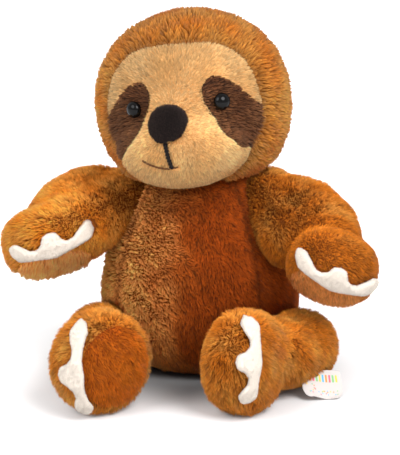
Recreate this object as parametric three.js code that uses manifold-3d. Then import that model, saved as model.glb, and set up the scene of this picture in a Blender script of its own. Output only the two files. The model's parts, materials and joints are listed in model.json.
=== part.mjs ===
// Plush sloth, seated, in millimetres. +Z is up and the toy faces -Y.
// Right and left are the toy's own: its right is at -X.
// Every stuffed piece is a sewn cover around a filling, and each limb turns at its seam.
import * as THREE from 'three';
import { mergeVertices } from 'three/addons/utils/BufferGeometryUtils.js';
import Module from 'manifold-3d';

const wasm = await Module();
wasm.setup();

// Fabric, stuffing and clearances
const PLUSH_THICKNESS = 3.2;      // backing and pile together
const FELT_THICKNESS = 1.3;
const SEAT_GAP = 0.35;            // between pieces that touch on the real toy
const SEAM_GAP = 0.35;            // between two panels sewn edge to edge
const TURN_GAP = 0.6;             // between pieces that move past each other
const CUT_OVERRUN = 30;           // how far a cutting shape runs past what it cuts
const FLOOR_CUT = 0.5;            // depth of the flat that the toy's weight presses
const WELD_DISTANCE = 0.0001;     // corners closer than this are one

// Torso
const TORSO_HEIGHT = 86;
const TORSO_HALF_WIDTH = 39.5;
const TORSO_HALF_DEPTH = 33.5;
const NECK_OPENING_RADIUS = 9;    // through which the torso's and the head's fillings meet
// Half width at each height, as shares of the half width and of the height
const TORSO_PROFILE_SHARES = [
  [0, 0], [0.52, 0], [0.76, 0.04], [0.93, 0.14], [1, 0.31], [0.965, 0.47],
  [0.86, 0.62], [0.73, 0.75], [0.63, 0.85], [0.47, 0.94], [0.25, 0.99], [0, 1],
];

// Pellet bag in the seat of the torso
const PELLET_BAG_HALF_WIDTH = 19;
const PELLET_BAG_HALF_DEPTH = 15;
const PELLET_BAG_HEIGHT = 16;

// Head, placed on the neck and tilted a little to the toy's right
const NECK_HEIGHT = 77.5;
const HEAD_TILT = 6.5;            // degrees
const HEAD_TURN = 25;             // degrees to each side
const HEAD_HALF_WIDTH = 38;
const HEAD_HALF_DEPTH = 34;
const HEAD_HEIGHT = 67.5;
const HEAD_DROP = 5;              // how far the head reaches below the neck seam
const HEAD_FORWARD = 3;
const HEAD_SET_OVER = 1;          // of the whole head, towards the toy's left
const HEAD_PROFILE_SHARES = [
  [0, 0], [0.36, 0.005], [0.62, 0.035], [0.79, 0.1], [0.9, 0.19], [0.965, 0.3], [1, 0.44],
  [0.985, 0.57], [0.92, 0.69], [0.8, 0.8], [0.62, 0.89], [0.38, 0.96], [0, 1],
];
const MUZZLE_HALF_WIDTH = 25.5;
const MUZZLE_HALF_DEPTH = 17.5;
const MUZZLE_HALF_HEIGHT = 15.5;
const MUZZLE_FORWARD = 27.5;
const MUZZLE_HEIGHT = 13.5;       // of its middle, above the neck seam

// Face panels, set a little towards the toy's left
const FACE_SET_OVER = 1.2;
const FACE_HALF_WIDTH = 29.5;
const FACE_TOP = 52.3;
const FACE_BOTTOM = -1.2;
const FACE_BACK = 9;              // the face's panels end this far in front of the head's middle
const BROW_SEAM_HEIGHT = 34.4;
const BROW_SEAM_RISE = 2;
const PATCH_WIDTH = 19.8;
const PATCH_HEIGHT = 32.3;
const PATCH_INNER_EDGE = 9.8;     // from the middle of the face
const PATCH_BOTTOM = 8;
const PATCH_MIDDLE_SHARES = [0.6, 0.5];
const SEAM_END_SHARE = 0.7;       // where the seam below turns down, of the patch's width
// One half of the face, as shares of its half width and its height
const FACE_SHARES = [
  [0, 1], [0.27, 0.995], [0.49, 0.976], [0.66, 0.93], [0.83, 0.84], [0.925, 0.735], [0.975, 0.62],
  [1, 0.48], [0.965, 0.36], [0.84, 0.247], [0.74, 0.145], [0.62, 0.08], [0.43, 0.025], [0.2, 0],
];
// The patch round an eye, as shares of its width and height; it runs out under the hood's edge
const PATCH_SHARES = [
  [0.19, 0.985], [0.02, 0.87], [0.02, 0.74], [0.15, 0.575], [0.31, 0.42], [0.53, 0.275],
  [0.71, 0.115], [0.82, -0.02], [1.1, 0.02], [1.15, 0.45], [0.93, 0.6], [0.72, 0.765], [0.47, 0.92],
];

// Eyes: a domed button on a shank, locked by a washer behind the fabric
const EYE_RADIUS = 3.1;
const EYE_DOME = 2.1;
const EYE_SPACING = 32.2;
const EYE_HEIGHT = 30.2;
const EYE_SHANK_RADIUS = 1.1;
const EYE_SHANK_LENGTH = 7.5;
const EYE_WASHER_RADIUS = 4;
const EYE_WASHER_THICKNESS = 1;
const EYE_WASHER_SLACK = 2.2;     // between the curved fabric and the flat washer

// Nose and mouth
const NOSE_HALF_WIDTH = 7.4;
const NOSE_HALF_HEIGHT = 9.2;
const NOSE_STAND = 3.2;           // how far it stands out of the muzzle
const NOSE_HEIGHT = 22.7;
const NOSE_SET_OVER = -1.4;
const NOSE_DEPTH_SHARE = 1.7;     // half the depth of its pad, of how far it stands out
const NOSE_TAPER_SHARE = 0.28;    // how much wider it is at its top than at its middle
const THREAD_RADIUS = 0.45;
const MOUTH_HALF_WIDTH = 10.5;
const MOUTH_HEIGHT = 9.2;
const MOUTH_CURL = 3.4;           // how far the ends of the mouth turn up

// Arms: a swelling tube, closed by a round palm
const SHOULDER = [26, 0, 66];     // of the toy's left arm, mirrored for the right
const SHOULDER_RADIUS = 11.5;
const ARM_RADIUS = 15.2;
const WRIST_RADIUS = 10.5;         // inside the paw
const ROOT_SHARE = 0.85;          // how thick a limb's tube starts, of the ball at its root
const PAW_RADIUS = 17.8;
const PAW_HALF_THICKNESS = 12.5;
// From the shoulder to the middle of the paw, and to the elbow
const PAW_REACH = { right: [26.5, -28, -13], left: [29.6, -28, -17.3] };
const ELBOW_REACH = { right: [19.5, -9, -4.8], left: [19.5, -8, -6.2] };
const PALM_AZIMUTH = 13;          // degrees that both palms turn towards the toy's left
const PALM_DOWN = { right: 62, left: 54 };      // degrees that the palm faces below the horizontal
const PALM_ROLL = { right: 17, left: 23 };      // degrees that its outer edge hangs lower
const PALM_PANEL_RADIUS = 14.2;
const ARM_RAISE = 30;             // degrees
const ARM_LOWER = 5;

// Legs: the same build, lying forwards, with a round sole
const HIP = { right: [34, -22, 14.2], left: [42.3, -17.5, 14.2] };
const HIP_RADIUS = 13.8;
const ANKLE_RADIUS = 11;
const FOOT_CENTRE = { right: [23, -64.5], left: [28, -54.5] };
const FOOT_RADIUS = 19.4;
const FOOT_HALF_THICKNESS = 13;
const SOLE_PANEL_RADIUS = 15.6;
const SOLE_AZIMUTH = { right: 50, left: 76 };   // degrees from straight ahead towards the toy's left
const SOLE_ROLL = { right: -7, left: 9 };       // degrees that the claws' end hangs lower
const LEG_LIFT = 20;              // degrees

// Felt claws: a strip along the edge of the palm or sole, with three fingers
const HAND_CLAW_SPAN = 31.5;
const FOOT_CLAW_SPAN = { right: 32.5, left: 29.5 };
// How far the strip's middle is off the middle of the palm or sole, towards the toy's left or up
const HAND_CLAW_SHIFT = { right: 3, left: 0 };
const FOOT_CLAW_SHIFT = { right: 2, left: 2.8 };
const CLAW_DEPTH = 9.5;
// How far the middle of each strip sags below the line through its ends
const HAND_CLAW_SAG = { right: 4, left: 5.2 };
const FOOT_CLAW_SAG = { right: 0, left: 2.5 };
// Degrees from the axis of the palm or sole to where the strip is sewn
const HAND_CLAW_TURN = { right: 64, left: 54 };
const FOOT_CLAW_TURN = { right: 53, left: 53 };
const CLAW_SHARES = [
  [-0.49, 0.12], [-0.42, -0.03], [-0.32, 0.06], [-0.2, 0.12], [0, 0.08], [0.2, 0.12],
  [0.32, 0.06], [0.42, -0.03], [0.49, 0.12], [0.5, 0.36], [0.43, 0.56], [0.35, 0.5],
  [0.27, 0.38], [0.18, 0.42], [0.11, 0.62], [0.07, 0.92], [0, 1], [-0.07, 0.92],
  [-0.11, 0.62], [-0.18, 0.42], [-0.27, 0.38], [-0.35, 0.5], [-0.43, 0.56], [-0.5, 0.36],
];

// Woven label, sewn into the outer seam of the left leg
const LABEL_WIDTH = 15.5;
const LABEL_LENGTH = 12;
const LABEL_THICKNESS = 0.6;
const LABEL_PLACE = [8, -12, -5];    // the middle of its sewn edge, from the hip
const LABEL_AZIMUTH = 34;         // degrees from straight ahead towards the toy's left
const LABEL_SLOPE = 42;           // degrees that it hangs down
const LABEL_CORNER = 4;

// How square the edge of a palm or sole is: 1 is an ellipse, less is squarer
const PUCK_ROUNDNESS = 0.72;

// Steps round a form, and along it
const ROUND_STEPS = 22;
const LIMB_STEPS = 13;
const BALL_STEPS = 16;
const PROFILE_STEPS = 11;
const TUBE_STEPS = 5;
const PRISM_STEPS = 2;            // along a cutting outline, for each of its points
const DOME_STEPS = 6;
const THREAD_STEPS = 6;
// How many of these steps a form is made with, outside and inside
const FINE_SHARE = 1;
const COARSE_SHARE = 0.5;

const COLOURS = {
  plush: 0xa9631c, plushDark: 0x8e4a17, face: 0xdeb27a, patch: 0x55322a, filling: 0xf2efe8,
  eye: 0x0b0908, washer: 0xe8e6e0, nose: 0x2d2326, thread: 0x1d1715, felt: 0xf2e8e2,
  label: 0xf4f3f1, pellets: 0xd9d4c8,
};

const degrees = THREE.MathUtils.degToRad;
const Y_AXIS = new THREE.Vector3(0, 1, 0);
const Z_AXIS = new THREE.Vector3(0, 0, 1);

// Only positions, with shared corners merged, so that the surface is closed.
function welded(geometry) {
  const bare = geometry.index ? geometry.toNonIndexed() : geometry.clone();
  for (const name of Object.keys(bare.attributes)) {
    if (name !== 'position') bare.deleteAttribute(name);
  }
  return mergeVertices(bare, WELD_DISTANCE);
}

function signedVolume(positions, index) {
  const [a, b, c] = [new THREE.Vector3(), new THREE.Vector3(), new THREE.Vector3()];
  let volume = 0;
  for (let i = 0; i < index.length; i += 3) {
    a.fromArray(positions, 3 * index[i]);
    b.fromArray(positions, 3 * index[i + 1]);
    c.fromArray(positions, 3 * index[i + 2]);
    volume += a.dot(b.cross(c)) / 6;
  }
  return volume;
}

// A closed geometry as a solid that can be joined and cut, with its faces turned outwards.
function solid(geometry) {
  const mesh = welded(geometry);
  const vertProperties = new Float32Array(mesh.attributes.position.array);
  const triVerts = new Uint32Array(mesh.index.array);
  if (signedVolume(vertProperties, triVerts) < 0) {
    for (let i = 0; i < triVerts.length; i += 3) {
      [triVerts[i], triVerts[i + 1]] = [triVerts[i + 1], triVerts[i]];
    }
  }
  return new wasm.Manifold(new wasm.Mesh({ numProp: 3, vertProperties, triVerts }));
}

function geometryOf(body) {
  const { vertProperties, triVerts } = body.getMesh();
  const geometry = new THREE.BufferGeometry();
  geometry.setAttribute('position', new THREE.BufferAttribute(new Float32Array(vertProperties), 3));
  geometry.setIndex(new THREE.BufferAttribute(new Uint32Array(triVerts), 1));
  geometry.computeVertexNormals();
  return geometry;
}

const join = (...bodies) => bodies.reduce((whole, body) => whole.add(body));

// Where two cuts nearly meet they can leave a sliver, which isn't part of the piece.
function largest(body) {
  return body.decompose().reduce((best, piece) => (piece.volume() > best.volume() ? piece : best));
}

function node(name, body, colour, roughness = 0.9) {
  const material = new THREE.MeshStandardMaterial({ color: colour, roughness, metalness: 0 });
  const mesh = new THREE.Mesh(geometryOf(largest(body)), material);
  mesh.name = name;
  return mesh;
}

// The same form with its surface moved out by a distance, or in by a negative one.
function swollen(geometry, distance) {
  const form = welded(geometry);
  if (signedVolume(form.attributes.position.array, form.index.array) < 0) {
    for (let i = 0; i < form.index.count; i += 3) {
      const first = form.index.getX(i);
      form.index.setX(i, form.index.getX(i + 1));
      form.index.setX(i + 1, first);
    }
  }
  form.computeVertexNormals();
  const { position, normal } = form.attributes;
  for (let i = 0; i < position.count; i++) {
    position.setXYZ(i,
      position.getX(i) + distance * normal.getX(i),
      position.getY(i) + distance * normal.getY(i),
      position.getZ(i) + distance * normal.getZ(i));
  }
  form.deleteAttribute('normal');
  return form;
}

// A smooth profile through points given as shares, turned about Z.
function turned(shares, halfWidth, halfDepth, height, bottom, detail) {
  const steps = Math.round(detail * PROFILE_STEPS);
  const through = new THREE.CatmullRomCurve3(
    shares.map(([across, up]) => new THREE.Vector3(across * halfWidth, bottom + up * height, 0)),
    false, 'centripetal');
  const profile = through.getSpacedPoints(steps).map((p) => new THREE.Vector2(Math.max(p.x, 0), p.y));
  profile[0].x = 0;
  profile[steps].x = 0;
  return new THREE.LatheGeometry(profile, Math.round(detail * ROUND_STEPS))
    .rotateX(Math.PI / 2).scale(1, halfDepth / halfWidth, 1);
}

function ball(radius, detail = FINE_SHARE) {
  const steps = Math.round(detail * BALL_STEPS);
  return new THREE.SphereGeometry(radius, steps, Math.round(steps / 2));
}

function ellipsoid(halfWidth, halfDepth, halfHeight, detail = FINE_SHARE) {
  return ball(1, detail).rotateX(Math.PI / 2).scale(halfWidth, halfDepth, halfHeight);
}

// A round cushion with fairly flat faces and a round edge. Its axis is Z.
function puck(radius, halfThickness, detail) {
  const profile = [];
  const steps = Math.round(detail * PROFILE_STEPS);
  for (let i = 0; i <= steps; i++) {
    const angle = Math.PI * (i / steps - 0.5);
    const across = Math.max(Math.cos(angle), 0) ** PUCK_ROUNDNESS;
    const up = Math.sign(Math.sin(angle)) * Math.abs(Math.sin(angle)) ** PUCK_ROUNDNESS;
    profile.push(new THREE.Vector2(i % steps ? across * radius : 0, up * halfThickness));
  }
  return new THREE.LatheGeometry(profile, Math.round(detail * LIMB_STEPS)).rotateX(Math.PI / 2);
}

// A round tube of changing radius along a smooth curve, closed at both ends.
function taperedTube(points, radii, detail) {
  const steps = Math.round(detail * TUBE_STEPS);
  const around = Math.round(detail * LIMB_STEPS);
  const curve = new THREE.CatmullRomCurve3(points, false, 'centripetal');
  const positions = [];
  const index = [];
  for (let i = 0; i <= steps; i++) {
    const share = i / steps;
    const at = curve.getPoint(share);
    const along = curve.getTangent(share);
    const side = new THREE.Vector3().crossVectors(along, Z_AXIS).normalize();
    const top = new THREE.Vector3().crossVectors(side, along);
    const span = share * (radii.length - 1);
    const low = Math.min(Math.floor(span), radii.length - 2);
    const radius = THREE.MathUtils.lerp(radii[low], radii[low + 1], span - low);
    for (let j = 0; j < around; j++) {
      const angle = 2 * Math.PI * j / around;
      positions.push(...at.clone()
        .addScaledVector(side, radius * Math.cos(angle))
        .addScaledVector(top, radius * Math.sin(angle)));
    }
  }
  positions.push(...points[0], ...points[points.length - 1]);
  const last = steps * around;
  const [start, end] = [last + around, last + around + 1];
  for (let j = 0; j < around; j++) {
    const next = (j + 1) % around;
    for (let i = 0; i < last; i += around) {
      index.push(i + j, i + next, i + around + j, i + next, i + around + next, i + around + j);
    }
    index.push(start, next, j, end, last + j, last + next);
  }
  const geometry = new THREE.BufferGeometry();
  geometry.setAttribute('position', new THREE.Float32BufferAttribute(positions, 3));
  geometry.setIndex(index);
  return geometry;
}

const HEAD_BOTTOM = -HEAD_DROP;
const FACE_HEIGHT = FACE_TOP - FACE_BOTTOM;
const FACE_PRISM_DEPTH = HEAD_HALF_DEPTH + MUZZLE_FORWARD + CUT_OVERRUN;

const torsoForm = (detail) =>
  turned(TORSO_PROFILE_SHARES, TORSO_HALF_WIDTH, TORSO_HALF_DEPTH, TORSO_HEIGHT, 0, detail);
// The same profile made round, which the head turns on
const neckForm = (detail) =>
  turned(TORSO_PROFILE_SHARES, TORSO_HALF_WIDTH, TORSO_HALF_WIDTH, TORSO_HEIGHT, 0, detail);
const skullForm = (detail) =>
  turned(HEAD_PROFILE_SHARES, HEAD_HALF_WIDTH, HEAD_HALF_DEPTH, HEAD_HEIGHT, HEAD_BOTTOM, detail)
    .translate(0, -HEAD_FORWARD, 0);
const muzzleForm = (detail) =>
  ellipsoid(MUZZLE_HALF_WIDTH, MUZZLE_HALF_DEPTH, MUZZLE_HALF_HEIGHT, detail)
    .translate(0, -MUZZLE_FORWARD, MUZZLE_HEIGHT);

const detailAt = (distance) => (distance < 0 ? COARSE_SHARE : FINE_SHARE);

// Forms joined into one solid, with their surface moved out, or in by a negative distance.
function swollenSolid(forms, distance) {
  return join(...forms.map((form) => solid(swollen(form(detailAt(distance)), distance))));
}

// The place of a group once a joint has turned it about an axis through a pivot.
function turnedPlace(group, pivot, axis, angle) {
  const back = new THREE.Matrix4().makeTranslation(pivot.clone().negate());
  const turn = new THREE.Matrix4().makeRotationAxis(axis, degrees(angle));
  const there = new THREE.Matrix4().makeTranslation(pivot);
  return there.multiply(turn).multiply(back).multiply(group.matrix);
}

// What forms of one group fill, seen from another group, at every pair of their turns.
function sweptSolid(forms, distance, placesOfForms, placesOfViewer) {
  const detail = distance > TURN_GAP ? COARSE_SHARE : FINE_SHARE;
  const parts = [];
  for (const viewer of placesOfViewer) {
    const back = viewer.clone().invert();
    for (const place of placesOfForms) {
      const seen = back.clone().multiply(place);
      for (const form of forms) {
        parts.push(solid(swollen(form(detail), distance).applyMatrix4(seen)));
      }
    }
  }
  return join(...parts);
}

function cylinderAlong(from, direction, radius, length, steps = LIMB_STEPS) {
  const toDirection = new THREE.Quaternion().setFromUnitVectors(Z_AXIS, direction);
  return solid(new THREE.CylinderGeometry(radius, radius, length, steps)
    .rotateX(Math.PI / 2)
    .translate(0, 0, length / 2)
    .applyQuaternion(toDirection)
    .translate(...from));
}

function floorBlock(group) {
  const side = 4 * TORSO_HEIGHT;
  const block = new THREE.BoxGeometry(side, side, CUT_OVERRUN).translate(0, 0, -CUT_OVERRUN / 2);
  return solid(block.applyMatrix4(group.matrix.clone().invert()));
}

function outlinePrism(points, depth, steps) {
  const outline = new THREE.CatmullRomCurve3(points.map(([x, y]) => new THREE.Vector3(x, y, 0)), true);
  const corners = outline.getPoints(steps).slice(0, -1).map((p) => new THREE.Vector2(p.x, p.y));
  return new THREE.ExtrudeGeometry(new THREE.Shape(corners), { depth, bevelEnabled: false });
}

// Groups: each is placed at its joint
const toy = new THREE.Group();
const head = new THREE.Group();
head.position.set(HEAD_SET_OVER, 0, NECK_HEIGHT);
head.rotation.y = degrees(-HEAD_TILT);
head.updateMatrix();
const neckPivot = new THREE.Vector3(0, 0, NECK_HEIGHT);
const headPlaces = [-HEAD_TURN, 0, HEAD_TURN].map((angle) => turnedPlace(head, neckPivot, Z_AXIS, angle));
const stillPlace = [new THREE.Matrix4()];

// A limb's group at its joint, with its reach and the places that its joint can turn it to
function limbGroup(side, root, end, angles) {
  const sign = side === 'left' ? 1 : -1;
  const reach = new THREE.Vector3(sign * end[0], end[1], end[2]);
  const group = new THREE.Group();
  group.position.set(sign * root[0], root[1], root[2]);
  group.updateMatrix();
  const along = new THREE.Vector3(reach.x, reach.y, 0).normalize();
  const axis = new THREE.Vector3().crossVectors(along, Z_AXIS);
  const places = angles.map((angle) => turnedPlace(group, group.position, axis, angle));
  return { group, places, sign, side, axis, reach };
}

const armGroup = (side) => limbGroup(side, SHOULDER, PAW_REACH[side], [-ARM_LOWER, 0, ARM_RAISE]);

function legGroup(side) {
  const [x, y, z] = HIP[side];
  const [footX, footY] = FOOT_CENTRE[side];
  const reach = [footX - x, footY - y, FOOT_RADIUS - FLOOR_CUT - z];
  return limbGroup(side, HIP[side], reach, [0, LEG_LIFT]);
}

// The palm or sole: its middle, the way it faces, and the way from its middle to the claws
function palmPlace(arm) {
  const down = degrees(PALM_DOWN[arm.side]);
  const roll = degrees(arm.sign * PALM_ROLL[arm.side]);
  const azimuth = degrees(PALM_AZIMUTH);
  const placed = (y, z) =>
    new THREE.Vector3(0, y, z).applyAxisAngle(Y_AXIS, roll).applyAxisAngle(Z_AXIS, azimuth);
  const facing = placed(-Math.cos(down), -Math.sin(down));
  const toClaws = placed(-Math.sin(down), Math.cos(down));
  return { centre: arm.reach, facing, toClaws, radius: PAW_RADIUS, halfThickness: PAW_HALF_THICKNESS };
}

function solePlace(leg) {
  const azimuth = degrees(SOLE_AZIMUTH[leg.side]);
  const facing = new THREE.Vector3(Math.sin(azimuth), -Math.cos(azimuth), 0);
  const toClaws = new THREE.Vector3(-Math.cos(azimuth), -Math.sin(azimuth), 0)
    .applyAxisAngle(facing, degrees(-SOLE_ROLL[leg.side]));
  return { centre: leg.reach, facing, toClaws, radius: FOOT_RADIUS, halfThickness: FOOT_HALF_THICKNESS };
}

function puckForm(place, detail) {
  const toFacing = new THREE.Quaternion().setFromUnitVectors(Z_AXIS, place.facing);
  return puck(place.radius, place.halfThickness, detail).applyQuaternion(toFacing).translate(...place.centre);
}

function clawStrip(place, { span, shift, sag, turn }, limbForms) {
  const across = new THREE.Vector3().crossVectors(place.toClaws, place.facing);
  const outwards = place.facing.clone().applyAxisAngle(across, degrees(-turn));
  const overTop = place.toClaws.clone().applyAxisAngle(across, degrees(-turn));
  const points = CLAW_SHARES.map(([along, up]) =>
    [along * span + shift, up * CLAW_DEPTH - sag * (1 - (2 * along) ** 2)]);
  const reach = place.radius + CUT_OVERRUN;
  const prism = outlinePrism(points, reach, points.length)
    .applyMatrix4(new THREE.Matrix4().makeBasis(across, overTop, outwards))
    .translate(...place.centre);
  const felt = swollenSolid(limbForms, SEAT_GAP + FELT_THICKNESS).subtract(swollenSolid(limbForms, SEAT_GAP));
  return felt.intersect(solid(prism));
}

// A limb as its cover, the round panel that closes it, its filling and its claws.
function limb(names, strip, base, rootRadius, tube, place, clearOfTorso, clearOfHead) {
  const root = (detail) => ball(rootRadius, detail);
  const outer = [tube, (detail) => puckForm(place, detail)];
  base.forms = [root, ...outer];
  const floor = floorBlock(base.group);
  const at = (distance) => swollenSolid(outer, distance)
    .subtract(clearOfTorso(TURN_GAP - distance))
    .add(swollenSolid([root], distance))
    .subtract(join(floor, ...clearOfHead(TURN_GAP - distance)));
  const towardsTorso = new THREE.Vector3(-base.sign, 0, 0);
  const opening = cylinderAlong(new THREE.Vector3(), towardsTorso, rootRadius / 2, CUT_OVERRUN);
  const shell = at(0).subtract(at(-PLUSH_THICKNESS)).subtract(opening);
  const disc = (radius) => cylinderAlong(place.centre, place.facing, radius, CUT_OVERRUN);
  const claws = clawStrip(place, strip, outer).subtract(floor);
  base.group.add(
    node(names.cover, shell.subtract(disc(names.panelRadius + SEAM_GAP)), COLOURS.plush),
    node(names.panel, shell.intersect(disc(names.panelRadius)), COLOURS.plushDark),
    node(names.filling, at(-PLUSH_THICKNESS - SEAT_GAP), COLOURS.filling),
    node(names.claws, claws, COLOURS.felt));
}

const rightArm = armGroup('right');
const leftArm = armGroup('left');
const rightLeg = legGroup('right');
const leftLeg = legGroup('left');

function makeArm(arm) {
  const [x, y, z] = ELBOW_REACH[arm.side];
  const elbow = new THREE.Vector3(arm.sign * x, y, z);
  const tube = (detail) => taperedTube(
    [new THREE.Vector3(), elbow, arm.reach],
    [ROOT_SHARE * SHOULDER_RADIUS, ARM_RADIUS, ARM_RADIUS, ARM_RADIUS, WRIST_RADIUS], detail);
  const clearOfTorso = (distance) => sweptSolid([torsoForm], distance, stillPlace, arm.places);
  const clearOfHead = (distance) => [sweptSolid([skullForm], distance, headPlaces, arm.places.slice(1))];
  const names = {
    cover: `arm_cover_${arm.side}`, panel: `palm_panel_${arm.side}`,
    filling: `arm_filling_${arm.side}`, claws: `hand_claws_${arm.side}`,
    panelRadius: PALM_PANEL_RADIUS,
  };
  const strip = {
    span: HAND_CLAW_SPAN, shift: HAND_CLAW_SHIFT[arm.side],
    sag: HAND_CLAW_SAG[arm.side], turn: HAND_CLAW_TURN[arm.side],
  };
  limb(names, strip, arm, SHOULDER_RADIUS, tube, palmPlace(arm), clearOfTorso, clearOfHead);
}

function makeLeg(leg) {
  const place = solePlace(leg);
  const tube = (detail) => taperedTube([new THREE.Vector3(), place.centre],
    [ROOT_SHARE * HIP_RADIUS, HIP_RADIUS, ANKLE_RADIUS], detail);
  const clearOfTorso = (distance) => sweptSolid([torsoForm], distance, stillPlace, leg.places);
  const names = {
    cover: `leg_cover_${leg.side}`, panel: `sole_panel_${leg.side}`,
    filling: `leg_filling_${leg.side}`, claws: `foot_claws_${leg.side}`,
    panelRadius: SOLE_PANEL_RADIUS,
  };
  const strip = {
    span: FOOT_CLAW_SPAN[leg.side], shift: FOOT_CLAW_SHIFT[leg.side],
    sag: FOOT_CLAW_SAG[leg.side], turn: FOOT_CLAW_TURN[leg.side],
  };
  limb(names, strip, leg, HIP_RADIUS, tube, place, clearOfTorso, () => []);
}

function makeTorso() {
  const sockets = (distance) => join(
    ...[rightArm, leftArm].map(({ group }) =>
      solid(ball(SHOULDER_RADIUS + TURN_GAP + distance).translate(...group.position))),
    ...[rightLeg, leftLeg].map(({ group }) =>
      solid(ball(HIP_RADIUS + TURN_GAP + distance).translate(...group.position))));
  const floor = floorBlock(toy);
  const form = (distance) => swollenSolid([torsoForm], distance).subtract(sockets(-distance)).subtract(floor);
  const neckOpening = cylinderAlong(
    new THREE.Vector3(0, 0, TORSO_HEIGHT - 2 * PLUSH_THICKNESS), Z_AXIS, NECK_OPENING_RADIUS, CUT_OVERRUN);
  const pocket = (gap) => solid(ellipsoid(
    PELLET_BAG_HALF_WIDTH + gap, PELLET_BAG_HALF_DEPTH + gap, PELLET_BAG_HEIGHT / 2 + gap, COARSE_SHARE)
    .translate(0, 0, PLUSH_THICKNESS + SEAT_GAP + PELLET_BAG_HEIGHT / 2));
  const pocketMouth = cylinderAlong(
    new THREE.Vector3(), Z_AXIS, PELLET_BAG_HALF_DEPTH / 2, PLUSH_THICKNESS + PELLET_BAG_HEIGHT / 2);
  toy.add(
    node('body_cover', form(0).subtract(form(-PLUSH_THICKNESS)).subtract(neckOpening), COLOURS.plush),
    node('body_filling', form(-PLUSH_THICKNESS - SEAT_GAP).subtract(pocket(SEAT_GAP)).subtract(pocketMouth),
      COLOURS.filling),
    node('pellet_bag', pocket(0), COLOURS.pellets));
}

// The point of the face at a place across and above, and the way its surface faces there
const headOutside = swollenSolid([skullForm, muzzleForm], 0);
const headTarget = new THREE.Mesh(geometryOf(headOutside));

function facePoint(across, above) {
  const from = new THREE.Vector3(across, -HEAD_HALF_DEPTH - CUT_OVERRUN, above);
  return new THREE.Raycaster(from, Y_AXIS).intersectObject(headTarget)[0].point;
}

function faceNormal(across, above, reach) {
  const side = facePoint(across + reach, above).sub(facePoint(across - reach, above));
  const up = facePoint(across, above + reach).sub(facePoint(across, above - reach));
  return side.cross(up).normalize();
}

// A prism from inside the head out through the face, over an outline seen from the front
function facePrism(points) {
  const prism = outlinePrism(points, FACE_PRISM_DEPTH, PRISM_STEPS * points.length);
  return solid(prism.rotateX(Math.PI / 2).translate(0, -FACE_BACK, 0));
}

function faceOutline(grow) {
  const half = FACE_SHARES.map(([x, z]) => {
    const outwards = new THREE.Vector2(x, 2 * z - 1).normalize().multiplyScalar(grow);
    return [x * FACE_HALF_WIDTH + outwards.x, FACE_BOTTOM + z * FACE_HEIGHT + outwards.y];
  });
  const whole = [...half, ...half.slice(1).reverse().map(([x, z]) => [-x, z])];
  return whole.map(([x, z]) => [x + FACE_SET_OVER, z]);
}

function patchOutline(sign, grow) {
  const middle = new THREE.Vector2(...PATCH_MIDDLE_SHARES);
  return PATCH_SHARES.map(([x, z]) => {
    const outwards = new THREE.Vector2(x, z).sub(middle).normalize().multiplyScalar(grow);
    return [
      FACE_SET_OVER + sign * (PATCH_INNER_EDGE + x * PATCH_WIDTH + outwards.x),
      PATCH_BOTTOM + z * PATCH_HEIGHT + outwards.y,
    ];
  });
}

// Everything below the arched seam between the two parts of the face
function belowBrow(drop) {
  const reach = FACE_HALF_WIDTH + CUT_OVERRUN;
  const shape = new THREE.Shape();
  const top = BROW_SEAM_HEIGHT - drop;
  shape.moveTo(-reach, -CUT_OVERRUN);
  shape.lineTo(reach, -CUT_OVERRUN);
  const cheek = PATCH_BOTTOM + PATCH_HEIGHT / 4;
  const seamEnd = PATCH_INNER_EDGE + SEAM_END_SHARE * PATCH_WIDTH;
  shape.lineTo(reach, cheek);
  shape.lineTo(seamEnd, cheek);
  shape.lineTo(FACE_HALF_WIDTH / 2, top);
  shape.quadraticCurveTo(0, top + 2 * BROW_SEAM_RISE, -FACE_HALF_WIDTH / 2, top);
  shape.lineTo(-seamEnd, cheek);
  shape.lineTo(-reach, cheek);
  shape.closePath();
  const prism = new THREE.ExtrudeGeometry(shape, {
    depth: FACE_BACK + FACE_PRISM_DEPTH, bevelEnabled: false, curveSegments: PROFILE_STEPS,
  });
  return solid(prism.rotateX(Math.PI / 2).translate(FACE_SET_OVER, 0, 0));
}

// An eye's button and shank, from the shank's tip out to the top of the dome
function eyeProfile() {
  const profile = [
    [0, -EYE_SHANK_LENGTH], [EYE_SHANK_RADIUS, -EYE_SHANK_LENGTH],
    [EYE_SHANK_RADIUS, SEAT_GAP], [EYE_RADIUS, SEAT_GAP],
  ];
  for (let i = 1; i < DOME_STEPS; i++) {
    const angle = Math.PI / 2 * i / DOME_STEPS;
    profile.push([EYE_RADIUS * Math.cos(angle), SEAT_GAP + EYE_DOME * Math.sin(angle)]);
  }
  profile.push([0, SEAT_GAP + EYE_DOME]);
  return profile.map(([across, up]) => new THREE.Vector2(across, up));
}

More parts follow.
